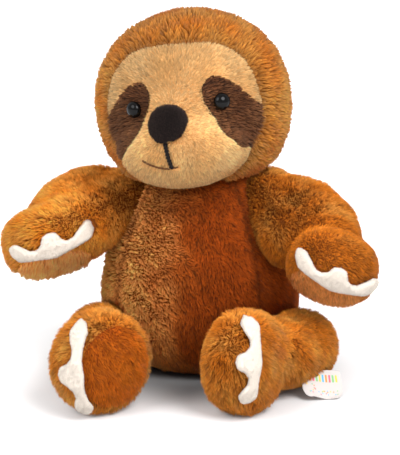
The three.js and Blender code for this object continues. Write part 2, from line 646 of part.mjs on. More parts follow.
function makeEye(side, sign) {
  const across = FACE_SET_OVER + sign * EYE_SPACING / 2;
  const at = facePoint(across, EYE_HEIGHT);
  const facing = faceNormal(across, EYE_HEIGHT, EYE_RADIUS);
  const inwards = facing.clone().negate();
  const toFacing = new THREE.Quaternion().setFromUnitVectors(Z_AXIS, facing);
  const eye = solid(new THREE.LatheGeometry(eyeProfile(), LIMB_STEPS).rotateX(Math.PI / 2)
    .applyQuaternion(toFacing).translate(...at));
  const washerDepth = PLUSH_THICKNESS + EYE_WASHER_SLACK;
  const washerAt = at.clone().addScaledVector(inwards, washerDepth);
  const washer = cylinderAlong(washerAt, inwards, EYE_WASHER_RADIUS, EYE_WASHER_THICKNESS)
    .subtract(cylinderAlong(at, inwards, EYE_SHANK_RADIUS + SEAT_GAP, CUT_OVERRUN));
  const shankHole = cylinderAlong(at.clone().addScaledVector(facing, EYE_DOME), inwards,
    EYE_SHANK_RADIUS + SEAT_GAP, EYE_DOME + EYE_SHANK_LENGTH + SEAT_GAP);
  const washerPocket = cylinderAlong(at, inwards,
    EYE_WASHER_RADIUS + SEAT_GAP, washerDepth + EYE_WASHER_THICKNESS + SEAT_GAP);
  head.add(
    node(`eye_${side}`, eye, COLOURS.eye, 0.08),
    node(`eye_washer_${side}`, washer, COLOURS.washer, 0.5));
  return { shankHole, fillingPocket: join(shankHole, washerPocket) };
}

function nosePad() {
  const at = facePoint(NOSE_SET_OVER, NOSE_HEIGHT);
  const halfDepth = NOSE_DEPTH_SHARE * NOSE_STAND;
  const pad = ellipsoid(NOSE_HALF_WIDTH, halfDepth, NOSE_HALF_HEIGHT);
  const { position } = pad.attributes;
  for (let i = 0; i < position.count; i++) {
    const taper = 1 + NOSE_TAPER_SHARE * position.getZ(i) / NOSE_HALF_HEIGHT;
    position.setX(i, position.getX(i) * taper);
  }
  return pad.translate(at.x, at.y - NOSE_STAND + halfDepth, at.z);
}

function makeNose() {
  const nose = solid(nosePad()).subtract(swollenSolid([skullForm, muzzleForm], SEAT_GAP));
  head.add(node('nose', nose, COLOURS.nose));
}

function threadAlong(places) {
  const lift = THREAD_RADIUS + SEAT_GAP;
  const points = places.map(([x, z]) =>
    facePoint(x, z).addScaledVector(faceNormal(x, z, THREAD_RADIUS), lift));
  const section = new THREE.Shape().absarc(0, 0, THREAD_RADIUS, 0, 2 * Math.PI);
  return solid(new THREE.ExtrudeGeometry(section, {
    steps: points.length, curveSegments: 2, bevelEnabled: false,
    extrudePath: new THREE.CatmullRomCurve3(points),
  }));
}

function makeMouth() {
  const underNose = NOSE_HEIGHT - NOSE_HALF_HEIGHT / 2;
  const philtrum = [];
  const smile = [];
  for (let i = 0; i <= THREAD_STEPS; i++) {
    const share = i / THREAD_STEPS;
    const side = 2 * share - 1;
    philtrum.push([NOSE_SET_OVER, THREE.MathUtils.lerp(underNose, MOUTH_HEIGHT, share)]);
    smile.push([NOSE_SET_OVER + side * MOUTH_HALF_WIDTH, MOUTH_HEIGHT + MOUTH_CURL * side ** 2]);
  }
  const clearOfNose = solid(swollen(nosePad(), SEAT_GAP));
  const stitch = threadAlong(philtrum).add(threadAlong(smile)).subtract(clearOfNose);
  head.add(node('mouth_stitch', stitch, COLOURS.thread));
}

function makeHead() {
  const forms = [skullForm, muzzleForm];
  const keepOut = (distance) => sweptSolid([neckForm], distance, stillPlace, [head.matrix]);
  const at = (distance) => swollenSolid(forms, distance).subtract(keepOut(TURN_GAP - distance));
  const neckOpening = cylinderAlong(
    new THREE.Vector3(0, 0, -CUT_OVERRUN), Z_AXIS, NECK_OPENING_RADIUS, CUT_OVERRUN + HEAD_HEIGHT / 3);
  const shell = at(0).subtract(at(-PLUSH_THICKNESS)).subtract(neckOpening);
  const eyes = [makeEye('right', -1), makeEye('left', 1)];
  const shankHoles = join(...eyes.map((eye) => eye.shankHole));
  const face = shell.intersect(facePrism(faceOutline(0)));
  const patches = (grow) => [-1, 1].map((sign) => facePrism(patchOutline(sign, grow)));
  const besidePatches = face.subtract(join(...patches(SEAM_GAP)));
  const [patchRight, patchLeft] = patches(0).map((patch) => face.intersect(patch).subtract(shankHoles));
  const pockets = join(...eyes.map((eye) => eye.fillingPocket));
  head.add(
    node('head_hood', shell.subtract(facePrism(faceOutline(SEAM_GAP))), COLOURS.plush),
    node('forehead_panel', besidePatches.subtract(belowBrow(-SEAM_GAP / 2)), COLOURS.face),
    node('muzzle_panel', besidePatches.intersect(belowBrow(SEAM_GAP / 2)), COLOURS.face),
    node('eye_patch_right', patchRight, COLOURS.patch),
    node('eye_patch_left', patchLeft, COLOURS.patch),
    node('head_filling', at(-PLUSH_THICKNESS - SEAT_GAP).subtract(pockets), COLOURS.filling));
}

function makeLabel() {
  const outline = new THREE.Shape();
  const half = LABEL_WIDTH / 2;
  outline.moveTo(-half, 0);
  outline.lineTo(half, 0);
  outline.lineTo(half, LABEL_LENGTH - LABEL_CORNER);
  outline.quadraticCurveTo(half, LABEL_LENGTH, half - LABEL_CORNER, LABEL_LENGTH);
  outline.lineTo(LABEL_CORNER - half, LABEL_LENGTH);
  outline.quadraticCurveTo(-half, LABEL_LENGTH, -half, LABEL_LENGTH - LABEL_CORNER);
  outline.closePath();
  const azimuth = degrees(LABEL_AZIMUTH);
  const slope = degrees(LABEL_SLOPE);
  const along = new THREE.Vector3(Math.cos(azimuth), Math.sin(azimuth), 0);
  const down = new THREE.Vector3(
    Math.sin(azimuth) * Math.cos(slope), -Math.cos(azimuth) * Math.cos(slope), -Math.sin(slope));
  const out = new THREE.Vector3().crossVectors(along, down);
  const plate = new THREE.ExtrudeGeometry(outline, {
    depth: LABEL_THICKNESS, bevelEnabled: false, curveSegments: DOME_STEPS,
  });
  plate.applyMatrix4(new THREE.Matrix4().makeBasis(along, down, out)).translate(...LABEL_PLACE);
  const label = solid(plate).subtract(swollenSolid(leftLeg.forms, SEAT_GAP));
  leftLeg.group.add(node('label', label, COLOURS.label, 0.4));
}

makeTorso();
makeHead();
makeNose();
makeMouth();
makeArm(rightArm);
makeArm(leftArm);
makeLeg(rightLeg);
makeLeg(leftLeg);
makeLabel();
toy.add(head, rightArm.group, leftArm.group, rightLeg.group, leftLeg.group);

// The origin lies under the middle of the whole toy, on the surface it sits on.
toy.updateMatrixWorld(true);
const bounds = new THREE.Box3().setFromObject(toy, true);
const middle = bounds.getCenter(new THREE.Vector3());
toy.position.set(-middle.x, -middle.y, -bounds.min.z);
toy.updateMatrixWorld(true);

export default toy;
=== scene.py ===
# Plush sloth, seated: the looks of its pile, felt, thread, eyes and label, in metres.
# The toy faces -Y, and its own left side is at +X.
import json
import math
from collections import namedtuple

import bmesh
import bpy
import numpy as np
from mathutils import Matrix, Vector
from mathutils.bvhtree import BVHTree
from mathutils.kdtree import KDTree

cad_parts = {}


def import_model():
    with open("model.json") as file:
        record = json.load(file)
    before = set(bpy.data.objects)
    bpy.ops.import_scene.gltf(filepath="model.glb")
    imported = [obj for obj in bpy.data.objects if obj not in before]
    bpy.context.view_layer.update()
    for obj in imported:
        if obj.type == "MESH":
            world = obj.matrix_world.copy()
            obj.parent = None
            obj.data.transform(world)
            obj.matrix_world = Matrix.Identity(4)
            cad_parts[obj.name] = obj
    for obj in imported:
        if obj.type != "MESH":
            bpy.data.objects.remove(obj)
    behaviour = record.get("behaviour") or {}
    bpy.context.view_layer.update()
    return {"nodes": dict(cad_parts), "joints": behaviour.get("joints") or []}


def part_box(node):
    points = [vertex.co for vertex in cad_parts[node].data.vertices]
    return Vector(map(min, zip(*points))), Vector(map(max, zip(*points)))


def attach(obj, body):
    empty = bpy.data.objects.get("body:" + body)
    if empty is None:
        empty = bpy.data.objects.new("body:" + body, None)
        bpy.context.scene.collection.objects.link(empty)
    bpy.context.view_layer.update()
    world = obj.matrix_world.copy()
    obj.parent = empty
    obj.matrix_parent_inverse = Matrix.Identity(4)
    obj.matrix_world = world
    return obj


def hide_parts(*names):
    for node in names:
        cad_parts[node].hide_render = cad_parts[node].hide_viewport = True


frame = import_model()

MM = 0.001
SMALLEST = 1e-12  # the least length that anything is divided by
NODES = frame["nodes"]
JOINTS = {joint["name"]: joint for joint in frame["joints"]}

# Camera: where it looks, from which side, and how long its lens is
LOOK_AT = Vector((-1.6, 25.3, 54.0)) * MM
CAMERA_AZIMUTH = 12.0
CAMERA_ELEVATION = 14.0
CAMERA_DISTANCE = 800 * MM
LENS = 164.7
SENSOR = 36.0

# Lamps: azimuth and elevation in degrees, distance and width in metres, power in watts
KEY_LIGHT = (45, 40, 1.0, 0.6, 10.4)
FILL_LIGHT = (-35, 35, 1.2, 0.8, 8.7)

# World: its strength from below and from above, and the slopes between which it changes
WORLD_LOW = 0.55
WORLD_HIGH = 0.8
WORLD_TURN = (-0.1, 0.7)

# Floor: a painted shadow darkens a small disc under the toy, and it has a white glow of its own further
# off
FLOOR_COLOUR = (0.78, 0.78, 0.785)
FLOOR_PAINTED_SHADOW = (0.28, 0.28, 0.282)
PAINTED_SHADOW_REACH = (20 * MM, 50 * MM)
FLOOR_MIDDLE = (0, 15 * MM, 0)
FLOOR_HALF_WIDTH = 3000 * MM
FLOOR_ROUGHNESS = 0.9
GLOW_START = 30 * MM
GLOW_FULL = 200 * MM
GLOW = 0.9

# Where each stream of random numbers starts
SEEDS = {"torso": 11, "head": 31, "nose": 41, "label": 61}

# Cloth under the pile: how finely it is remeshed and smoothed, and how deep it lies under the CAD cover
VOXEL = 1.2 * MM
SMOOTHING_FACTOR = 0.5
BODY_SMOOTHING = 30
HEAD_SMOOTHING = 14
LIMB_SMOOTHING = 15
BODY_DEPTH = 2.0 * MM
HEAD_DEPTH = 1.8 * MM
LIMB_DEPTH = 1.5 * MM
FACE_DEPTH = 1.1 * MM
PATCH_DEPTH = 1.3 * MM
HIDDEN_BODY = 1.5 * MM  # how deep in another piece a root of the body or the head may be
HIDDEN_LIMB = 5 * MM  # the same for a limb, whose hidden pile comes out when it moves
PANEL_LIFT = 1.5 * MM  # about the way from the cloth of the head up to its panels

# Strands: how they stand on the cloth, and how they differ from one another
ROOT_DEPTH = 0.3 * MM
FLOOR_CLEARANCE = 0.25 * MM
STRANDS_A_CLUMP = 11
CLUMPS_TRIED = 4
CLUMP_LENGTH = 2.2  # how many times longer a clump is along the nap than across
CLUMP_RIDGE = 0.35  # the share of a clump's pull that doesn't work along the nap
LEAN_SPREAD = 0.2
WAY_SPREAD = 0.15
LENGTH_RANGE = (0.75, 1.0)
LONGEST_EXTRA = 0.3
LONGEST_RARITY = 6
WIDTH_RANGE = (0.8, 1.15)
WARMTH_SPREAD = 0.12
MOST_FACES = 190_000

# Creases and seams: how far the painted shade of a crease reaches, how dark it is painted, and how short
# the pile is along a seam
CREASE_REACH = 6 * MM
CREASE_PAINTED_SHADE = 0.62
CREASE_FADE = 2.6 * MM
SEAM_WIDTH = 0.7 * MM
BODY_SEAM_LENGTH = 0.5
LIMB_SEAM_LENGTH = 0.6
HEAD_SEAM_LENGTH = 0.7

# The cloth between the strands: the colour of their roots, painted darker by this share as a painted shade
# under the pile
TORSO_SKIN_PAINTED_LIGHT = 0.6
SKIN_PAINTED_LIGHT = 0.85


def linear(red, green, blue):
    """A colour written as 0 to 255, as the linear values that the renderer uses."""
    shares = np.array([red, green, blue]) / 255
    return np.where(shares <= 0.04045, shares / 12.92, ((shares + 0.055) / 1.055) ** 2.4)


# Each kind of pile: colours at the root and tip, a second tip colour for warm areas, its length and
# width, how many strands grow on a square metre, how far they lean, how much they gather in clumps,
# and how much their lightness differs
Pile = namedtuple("Pile", "root tip warm length width density lean clump shade")
PLUSH = Pile(linear(126, 66, 14), linear(252, 180, 84), linear(234, 132, 30),
             3.0 * MM, 0.38 * MM, 9.0e6, 0.7, 0.5, 0.14)
# PALM is the palms' rust pile, painted lighter than the soles' PAD as a painted light on their downturned
# faces
PALM = Pile(linear(214, 122, 56), linear(255, 196, 128), linear(255, 166, 84),
            3.4 * MM, 0.38 * MM, 8.5e6, 0.7, 0.7, 0.14)
PAD = Pile(linear(140, 63, 10), linear(234, 132, 30), linear(218, 110, 18),
           2.2 * MM, 0.34 * MM, 9.5e6, 0.6, 0.25, 0.12)
FACE = Pile(linear(219, 160, 96), linear(254, 214, 152), linear(246, 192, 121),
            1.4 * MM, 0.28 * MM, 19.0e6, 0.8, 0.5, 0.13)
PATCH = Pile(linear(40, 23, 13), linear(150, 98, 62), linear(106, 62, 36),
             2.0 * MM, 0.34 * MM, 11.0e6, 0.6, 0.7, 0.2)
NOSE = Pile(linear(16, 11, 10), linear(54, 41, 38), linear(38, 28, 26),
            0.8 * MM, 0.3 * MM, 22.0e6, 0.4, 0.2, 0.12)
FUZZ = Pile(linear(212, 202, 190), linear(228, 218, 208), linear(220, 210, 199),
            0.45 * MM, 0.3 * MM, 14.0e6, 0.9, 0.0, 0.04)

# Soft materials, by their slot: size of the speckle and how strong it is
PILE_LOOKS = {
    "plush_brown": (0.9 * MM, 0.18), "plush_rust": (0.8 * MM, 0.18), "plush_tan": (0.6 * MM, 0.1),
    "plush_dark_brown": (0.7 * MM, 0.18), "nose_plush": (0.5 * MM, 0.18), "felt_white": (0.6 * MM, 0.04),
    "thread_black": (0.25 * MM, 0.3), "label_satin": (0.3 * MM, 0.03),
}
PILE_ROUGHNESS = 0.8
PILE_GLOSS = 0.15
PILE_SHEEN = 0.06
SHEEN_ROUGHNESS = 0.4
SHEEN_COLOUR = (1.0, 0.8, 0.6, 1.0)
SPECKLE_DETAIL = 2

# Hard materials: colour, roughness, size of the grain, its share in height and in lightness, and gloss
HARD_LOOKS = {
    "eye_black": (linear(7, 6, 6), 0.05, 1.5 * MM, 0.01, 0.1, 0.13),
    "washer_white": (linear(232, 230, 224), 0.5, 2 * MM, 0.05, 0.03, 0.5),
}
GRAIN_DETAIL = 5

# Soft blotches: how strong they are, how large each is, and their seed
WAVE_COUNT = 7
WAVE_RANGE = (0.7, 1.5)
BELLY_EDGE = (3 * MM, 14 * MM, 5)
BELLY_CURL = (0.5, 7 * MM, 8)
BODY_MOTTLE = (0.07, 9 * MM, 6)
LIMB_MOTTLE = (0.08, 8 * MM, 21)
LIMB_WARM_SPOTS = (0.25, 12 * MM, 22)
HOOD_CURL = (0.5, 6 * MM, 34)
HEAD_MOTTLE = (0.06, 9 * MM, 32)
HEAD_WARM_SPOTS = (0.3, 13 * MM, 33)
LIMB_CURL_SIZE = 6 * MM
LIMB_CURL_SEED = 23

# Body: the pile lies sideways on the toy's right, painted lighter there as a painted sheen, and down on
# its left, painted darker and redder there as a painted shade
BELLY_TURN = (-13 * MM, 9 * MM)  # where it turns, across the belly
BELLY_FADE = (-24 * MM, 4 * MM)  # where it turns from the painted sheen to the painted shade, darker and redder
SIDEWAYS_NAP = (1.0, 0, -0.3)
DOWNWARDS_NAP = (0.1, 0, -1.0)
# Painted sheen lightens the sideways pile; painted shade darkens and reddens the other
SIDEWAYS_PAINTED_SHEEN = np.array([1.45, 1.42, 2.3])
DOWNWARDS_PAINTED_SHADE = np.array([0.74, 0.46, 0.36])
BODY_WARMTH = (0.4, 1.0)  # of the sideways pile and of the other
BODY_CLUMP = (1.7, 0.6)  # likewise
BODY_CLUMP_LENGTH = 3.2
BODY_CLUMP_RIDGE = 0.7
BODY_LENGTH = 0.85
BACK = (0, 14 * MM)  # where the belly turns into the back, behind the middle of the body
BACK_SHARE = 0.4  # how much of the other side's look the back has
SIDE_SEAM = math.radians(52)  # how far round from the front the two side seams are
# Painted shade in the furrow of each side seam: how dark it is painted, and how far it fades
SEAM_PAINTED_SHADE = 0.5
SEAM_FADE = 1.3 * MM

# Limbs: the nodes and the joint of each
Limb = namedtuple("Limb", "kind cover pad filling claws joint")
LIMBS = {
    f"{kind}_{side}": Limb(kind, f"{kind}_cover_{side}", f"{pad}_panel_{side}", f"{kind}_filling_{side}",
                           f"{claws}_claws_{side}", f"{kind}_{move}_{side}")
    for kind, pad, claws, move in (("arm", "palm", "hand", "raise"), ("leg", "sole", "foot", "lift"))
    for side in ("right", "left")
}
# The plug of cloth by which a limb reaches into the body: its radius at the joint and at its end, how
# far it reaches, as a share of the way to the pad, and how far its end is lifted
PLUG_BALLS = 8
BALL_DETAIL = 3
Plug = namedtuple("Plug", "root_radius end_radius reach_share lift")
PLUGS = {
    "arm_right": Plug(11.5 * MM, 15 * MM, 0.82, 4 * MM), "arm_left": Plug(13.2 * MM, 13.5 * MM, 0.45, 0),
    "leg_right": Plug(12.5 * MM, 12.5 * MM, 0.45, 0), "leg_left": Plug(14.5 * MM, 12.5 * MM, 0.45, 0),
}
# Each limb's pile: its pad's kind, how warm it is, its painted light and shade for how light falls on that
# limb, how much more painted light it gets past the wrist, and how much shorter and redder it is round the
# pad
LimbPile = namedtuple("LimbPile", "pad warmth light hand short")
LIMB_PILE = {
    "arm_right": LimbPile(PALM, 0.65, 0.9, 0.5, 0), "arm_left": LimbPile(PALM, 0.8, 0.77, 0.14, 0.35),
    "leg_right": LimbPile(PAD, 0.6, 1.05, 0, 0), "leg_left": LimbPile(PLUSH, 0.7, 1.02, 0, 0),
}
SHORT_PILE_REACH = (18 * MM, 26 * MM)
WRIST_SHARES = (0.35, 0.75)  # where the pile turns, on the way from the shoulder to the palm
# The way the pile lies: outwards, back and up, before it is laid along the cloth
COVER_NAP = {"arm": (0.75, -0.1, -0.65), "leg": (0.3, -0.25, -0.8)}
PAD_NAP = (0.2, 0, -1.0)
LIMB_CURL = {"arm": 0.3, "leg": 0.6}
LIMB_CLUMP = {"arm": 0.9, "leg": 1.05}

# Claws: felt, with room under them that no strand of the limb grows into
CLAW_VOXEL = 0.35 * MM
CLAW_SMOOTHING = 22
CLAW_PUFF = 0.55 * MM
# Painted shade on the felt next to the limb's pile: how dark it is there, and how far it fades
CLAW_EDGE_PAINTED_SHADE = 0.45
CLAW_EDGE_FADE = 0.8 * MM
CLAW_GAP = 0.35 * MM
CLAW_STEM = 1.5 * MM  # the stretch of a strand that has to keep this gap
CLAW_STEM_SHARES = (0.0, 0.5, 1.0)
UNDER_CLAW_START = 2 * MM
UNDER_CLAW_REACH = 8 * MM

# Head, as the part has it: where it stands, how far it leans, and where its nose is on it
HEAD_PLACE = Vector((-0.631, 25.349, 77.5)) * MM
HEAD_LEAN = -6.5
NOSE_ACROSS = -1.4 * MM
BEFORE_FACE = 80 * MM
# The panels of the head: kind and slot of the pile, how deep the cloth lies, its painted light and shade
# for how light falls on the panel, how long and clumped the pile is for its kind, how much lighter it is
# at the panel's edge (darker on the hood, a painted shade where it meets the face), and how far that fades
Panel = namedtuple("Panel", "kind slot depth light length clump edge fade")
PANELS = {
    "head_hood": Panel(PLUSH, "plush_brown", HEAD_DEPTH, 1.14, 0.85, 1.5, -0.4, 1.5 * MM),
    "forehead_panel": Panel(FACE, "plush_tan", FACE_DEPTH, 0.67, 1.0, 1.0, 0.26, 5 * MM),
    "muzzle_panel": Panel(FACE, "plush_tan", FACE_DEPTH, 1.03, 1.0, 1.0, 0.2, 4 * MM),
    "eye_patch_right": Panel(PATCH, "plush_dark_brown", PATCH_DEPTH, 0.92, 1.0, 1.0, 0, 1 * MM),
    "eye_patch_left": Panel(PATCH, "plush_dark_brown", PATCH_DEPTH, 1.08, 1.0, 1.0, 0, 1 * MM),
}
HEAD_FALL = (0, 0, -0.35)  # added to the way outwards from the nose, so that the pile hangs a little
HEAD_WARMTH = 0.4
HOOD_CROWN = (108 * MM, 132 * MM)  # heights between which the hood's pile is painted darker and redder, a painted shade on its crown
CROWN_PAINTED_SHADE = 0.22
# The muzzle's pile is painted darker up the bridge of the nose towards the forehead, a painted shade:
# between which heights, and down to which light
BRIDGE = (101 * MM, 114 * MM)
BRIDGE_PAINTED_LIGHT = 0.68
BRIDGE_SIDES = (9 * MM, 18 * MM)  # how far beside the bridge the forehead's edge gets lighter

# Nose: its cloth, how far its lower half droops onto the muzzle, and the way its pile lies
NOSE_VOXEL = 0.5 * MM
NOSE_SMOOTHING = 8
NOSE_DEPTH = 0.35 * MM
NOSE_DROOP = np.array([0, -0.63, -0.77]) * 1.9 * MM
NOSE_NAP = (0.2, 0, -1.0)

# Mouth: a twisted thread down from the nose, and a thinner one across for the smile
PHILTRUM_TOP = 20.5 * MM
PHILTRUM_SLANT = (-1.5 * MM, 0.4 * MM)
PHILTRUM_LIFT = 0.9 * MM
PHILTRUM_POINTS = 12
PHILTRUM_RADIUS = (0.95 * MM, 0.85 * MM)
PHILTRUM_COLOUR = linear(16, 12, 12)
MOUTH_HEIGHT = 9.2 * MM
MOUTH_HALF_WIDTH = 10.5 * MM
MOUTH_CURL = 3.4 * MM
SMILE_LIFT = 0.75 * MM
SMILE_POINTS = 26
SMILE_SHARES = (-0.1, 0.25)  # where the smile starts to sink and where it ends, of half the mouth
SMILE_RADIUS = (0.42 * MM, 0.36 * MM)
SMILE_COLOUR = linear(84, 50, 28)
THREAD_STEP = 0.2 * MM
FEWEST_STEPS = 24
TWIST_PITCH = 2.4 * MM
PLY_OFFSET_SHARE = 0.4
PLY_RADIUS_SHARE = 0.62
TUBE_SIDES = 8
TUBE_END_SHARE = 0.05
THREAD_CLEARANCE = 0.95 * MM

# Eyes: a glossy round dome each
EYE_RADIUS = 3.1 * MM
EYE_HEIGHT = 2.3 * MM
EYE_SEGMENTS = (40, 24)

# Label: a waved sheet with rounded lower corners, and short bars and dots on it
LABEL_SIZE = (15.5 * MM, 12.0 * MM)
LABEL_THICKNESS = 0.35 * MM
LABEL_CORNER = 4.0 * MM
LABEL_CORNER_SHARE = 0.7  # how much of a full round corner each lower corner has
LABEL_WAVE = 0.9 * MM
LABEL_RIPPLE = (2.2 * math.pi, 0.6)  # how far it turns from end to end, and its turn in the middle
LABEL_RIPPLE_SHARES = (0.4, 0.8)  # of the wave: how strong it is half-way down, and over all
LABEL_BEND_SHARE = 1.5  # of the wave: how fast the label bends away from its middle
LABEL_COLUMNS = 150
LABEL_ROWS = 116
LABEL_COLOUR = linear(203, 197, 194)
LABEL_INKS = [linear(*ink) for ink in ((96, 176, 214), (236, 150, 80), (226, 110, 130), (130, 190, 130),
                                       (236, 200, 90))]
LABEL_BAR_COUNT = 10
LABEL_BAR_SHARES = {"first": -0.36, "last": 0.38, "row": -0.2, "half_height": 0.13, "half_width": 0.24}
LABEL_DOT_COUNT = 26
LABEL_DOT_RADIUS = 0.26 * MM
LABEL_DOT_SHARES = ((-0.4, 0.02), (0.4, 0.38))


# Numbers and shapes
def unit(vectors):
    """Each row at unit length."""
    return vectors / np.maximum(np.linalg.norm(vectors, axis=-1, keepdims=True), SMALLEST)


def along_surface(direction, normals):
    """A direction, or one for each row, laid along the surface that the normals face out of."""
    rows = np.broadcast_to(direction, normals.shape)
    return unit(rows - (rows * normals).sum(1, keepdims=True) * normals)


def smooth_step(low, high, values):
    """Zero below one value and one above the other, with a smooth rise between them."""
    share = np.clip((values - low) / (high - low), 0, 1)
    return share * share * (3 - 2 * share)


def mixed(pair, share):
    """The first of two values at a share of zero, and the second at one."""
    return pair[0] + (pair[1] - pair[0]) * share


def kept(keep, *columns):
    """The same rows of several arrays."""
    return [column[keep] for column in columns]


def blotches(points, strength, size, seed):
    """Soft blotches of about the given size, always the same for one seed."""
    random = np.random.default_rng(seed)
    total = np.zeros(len(points))
    for _ in range(WAVE_COUNT):
        direction = unit(random.normal(size=3)) * random.uniform(*WAVE_RANGE) * 2 * math.pi / size
        total += np.sin(points @ direction + random.uniform(0, 2 * math.pi))
    return strength * (total / math.sqrt(WAVE_COUNT))


def mesh_object(name, vertices, faces):
    """A smooth-shaded object from rows of points and rows of corners."""
    mesh = bpy.data.meshes.new(name)
    vertices = np.asarray(vertices, np.float32)
    faces = np.asarray(faces, np.int32)
    mesh.vertices.add(len(vertices))
    mesh.vertices.foreach_set("co", vertices.ravel())
    mesh.loops.add(faces.size)
    mesh.loops.foreach_set("vertex_index", faces.ravel())
    mesh.polygons.add(len(faces))
    mesh.polygons.foreach_set("loop_start", np.arange(len(faces), dtype=np.int32) * faces.shape[1])
    mesh.update(calc_edges=True)
    mesh.polygons.foreach_set("use_smooth", np.ones(len(faces), bool))
    piece = bpy.data.objects.new(name, mesh)
    bpy.context.scene.collection.objects.link(piece)
    return piece


def triangles_of(mesh):
    """A mesh's points and its triangles, as rows."""
    mesh.calc_loop_triangles()
    points = np.empty(3 * len(mesh.vertices), np.float32)
    mesh.vertices.foreach_get("co", points)
    corners = np.empty(3 * len(mesh.loop_triangles), np.int32)
    mesh.loop_triangles.foreach_get("vertices", corners)
    return points.reshape(-1, 3).astype(float), corners.reshape(-1, 3)


def drawn(shape):
    """The points and triangles of a shape that is then let go."""
    mesh = bpy.data.meshes.new("drawn")
    shape.to_mesh(mesh)
    shape.free()
    points, triangles = triangles_of(mesh)
    bpy.data.meshes.remove(mesh)
    return points, triangles


def joined(parts):
    """Several (points, faces) as one."""
    starts = np.cumsum([0, *(len(part[0]) for part in parts)])
    points = np.concatenate([part[0] for part in parts])
    return points, np.concatenate([part[1] + start for part, start in zip(parts, starts)])


def box_middle(node):
    """The middle of a node's box."""
    return (np.array(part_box(node)[0]) + np.array(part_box(node)[1])) / 2


def joint_place(limb):
    """Where the joint of a limb is."""
    return np.array(JOINTS[limb.joint]["pos_m"])


def tree_of(node):
    """A node's surface, ready to be searched."""
    points, triangles = triangles_of(NODES[node].data)
    return BVHTree.FromPolygons(points.tolist(), triangles.tolist())


def ball_chain(start, end, start_radius, end_radius):
    """Overlapping balls from one point to another."""
    parts = []
    for share in np.linspace(0, 1, PLUG_BALLS):
        shape = bmesh.new()
        radius = start_radius + share * (end_radius - start_radius)
        bmesh.ops.create_icosphere(shape, subdivisions=BALL_DETAIL, radius=radius)
        points, triangles = drawn(shape)
        parts.append((points + start + share * (end - start), triangles))
    return joined(parts)


def outer_surface(points, triangles):
    """The largest of the separate surfaces in a mesh, without the hollows inside it."""
    label = np.arange(len(points))
    while True:
        lowest = label[triangles].min(1)
        merged = label.copy()
        for corner in range(3):
            np.minimum.at(merged, triangles[:, corner], lowest)
        merged = merged[merged]
        if np.array_equal(merged, label):
            break
        label = merged
    sizes = np.bincount(label[triangles[:, 0]])
    largest = triangles[label[triangles[:, 0]] == sizes.argmax()]
    used, renumbered = np.unique(largest, return_inverse=True)
    return points[used], renumbered.reshape(-1, 3)


class Skin:
    """A smooth closed surface round some CAD nodes, which the pile grows out of."""

    # A point is inside where the first triangle met along this direction faces the same way
    LOOKING = Vector((0.31, 0.22, 0.925)).normalized()

    def __init__(self, nodes, voxel, smoothing, extra=()):
        parts = [triangles_of(NODES[node].data) for node in nodes] + list(extra)
        rough = mesh_object("skin", *joined(parts))
        remesh = rough.modifiers.new("remesh", "REMESH")
        remesh.mode = "VOXEL"
        remesh.voxel_size = voxel
        smooth = rough.modifiers.new("smooth", "SMOOTH")
        smooth.factor = SMOOTHING_FACTOR
        smooth.iterations = smoothing
        ready = rough.evaluated_get(bpy.context.evaluated_depsgraph_get())
        mesh = bpy.data.meshes.new_from_object(ready)
        self.points, self.triangles = outer_surface(*triangles_of(mesh))
        bpy.data.objects.remove(rough)
        bpy.data.meshes.remove(mesh)
        self.measure()

    def measure(self):
        """The area of each triangle, the normal of each point, and the surface ready to be searched."""
        a, b, c = (self.points[self.triangles[:, corner]] for corner in range(3))
        crossed = np.cross(b - a, c - a)
        self.areas = np.linalg.norm(crossed, axis=1) / 2
        self.normals = np.zeros_like(self.points)
        for corner in range(3):
            np.add.at(self.normals, self.triangles[:, corner], crossed)
        self.normals = unit(self.normals)
        self.tree = BVHTree.FromPolygons(self.points.tolist(), self.triangles.tolist())

    def moved_out(self, distance):
        """Moves each point out along its normal, by one distance or one for each point."""
        self.points = self.points + self.normals * np.reshape(distance, (-1, 1))
        self.measure()
        return self

    def scatter(self, density, random):
        """Random places on the surface, so many for each square metre, with their normals."""
        count = int(self.areas.sum() * density)
        chosen = random.choice(len(self.areas), count, p=self.areas / self.areas.sum())
        first, second = np.sqrt(random.random(count)), random.random(count)
        shares = np.stack([1 - first, first * (1 - second), first * second], 1)[:, :, None]
        corners = self.triangles[chosen]
        return (self.points[corners] * shares).sum(1), unit((self.normals[corners] * shares).sum(1))

    def clearance(self, points):
        """How far each point is outside this surface, up to the reach of a crease; below zero inside."""
        clear = np.full(len(points), CREASE_REACH)
        low, high = self.points.min(0) - CREASE_REACH, self.points.max(0) + CREASE_REACH
        for i in np.flatnonzero(((points > low) & (points < high)).all(1)):
            point = Vector(points[i])
            distance = self.tree.find_nearest(point)[3]
            place, normal, _, _ = self.tree.ray_cast(point, self.LOOKING)
            inside = place is not None and normal.dot(self.LOOKING) > 0
            clear[i] = -distance if inside else min(distance, CREASE_REACH)
        return clear

    def part(self, keep, colour):
        """The triangles that are kept, with their points, in one colour."""
        used, renumbered = np.unique(self.triangles[keep], return_inverse=True)
        points = self.points[used]
        return points, renumbered.reshape(-1, 3), np.tile(colour, (len(points), 1))


def nearest_of(points, trees):
    """Which of some trees each point is nearest to, and how much nearer than to the next."""
    distances = np.empty((len(points), len(trees)))
    for column, tree in enumerate(trees):
        distances[:, column] = [tree.find_nearest(point)[3] for point in points.tolist()]
    order = np.sort(distances, axis=1)
    return distances.argmin(1), order[:, 1] - order[:, 0]


def room_beside(roots, skins):
    """How far each root is outside the nearest of some surfaces; below zero inside one."""
    return np.min([skin.clearance(roots) for skin in skins], axis=0)


def crease_shade(room):
    """Painted shade: a darker colour for each root that is close to another surface, where shade falls in
    a crease.
    """
    return 1 - CREASE_PAINTED_SHADE * np.exp(-np.clip(room, 0, CREASE_REACH) / CREASE_FADE)


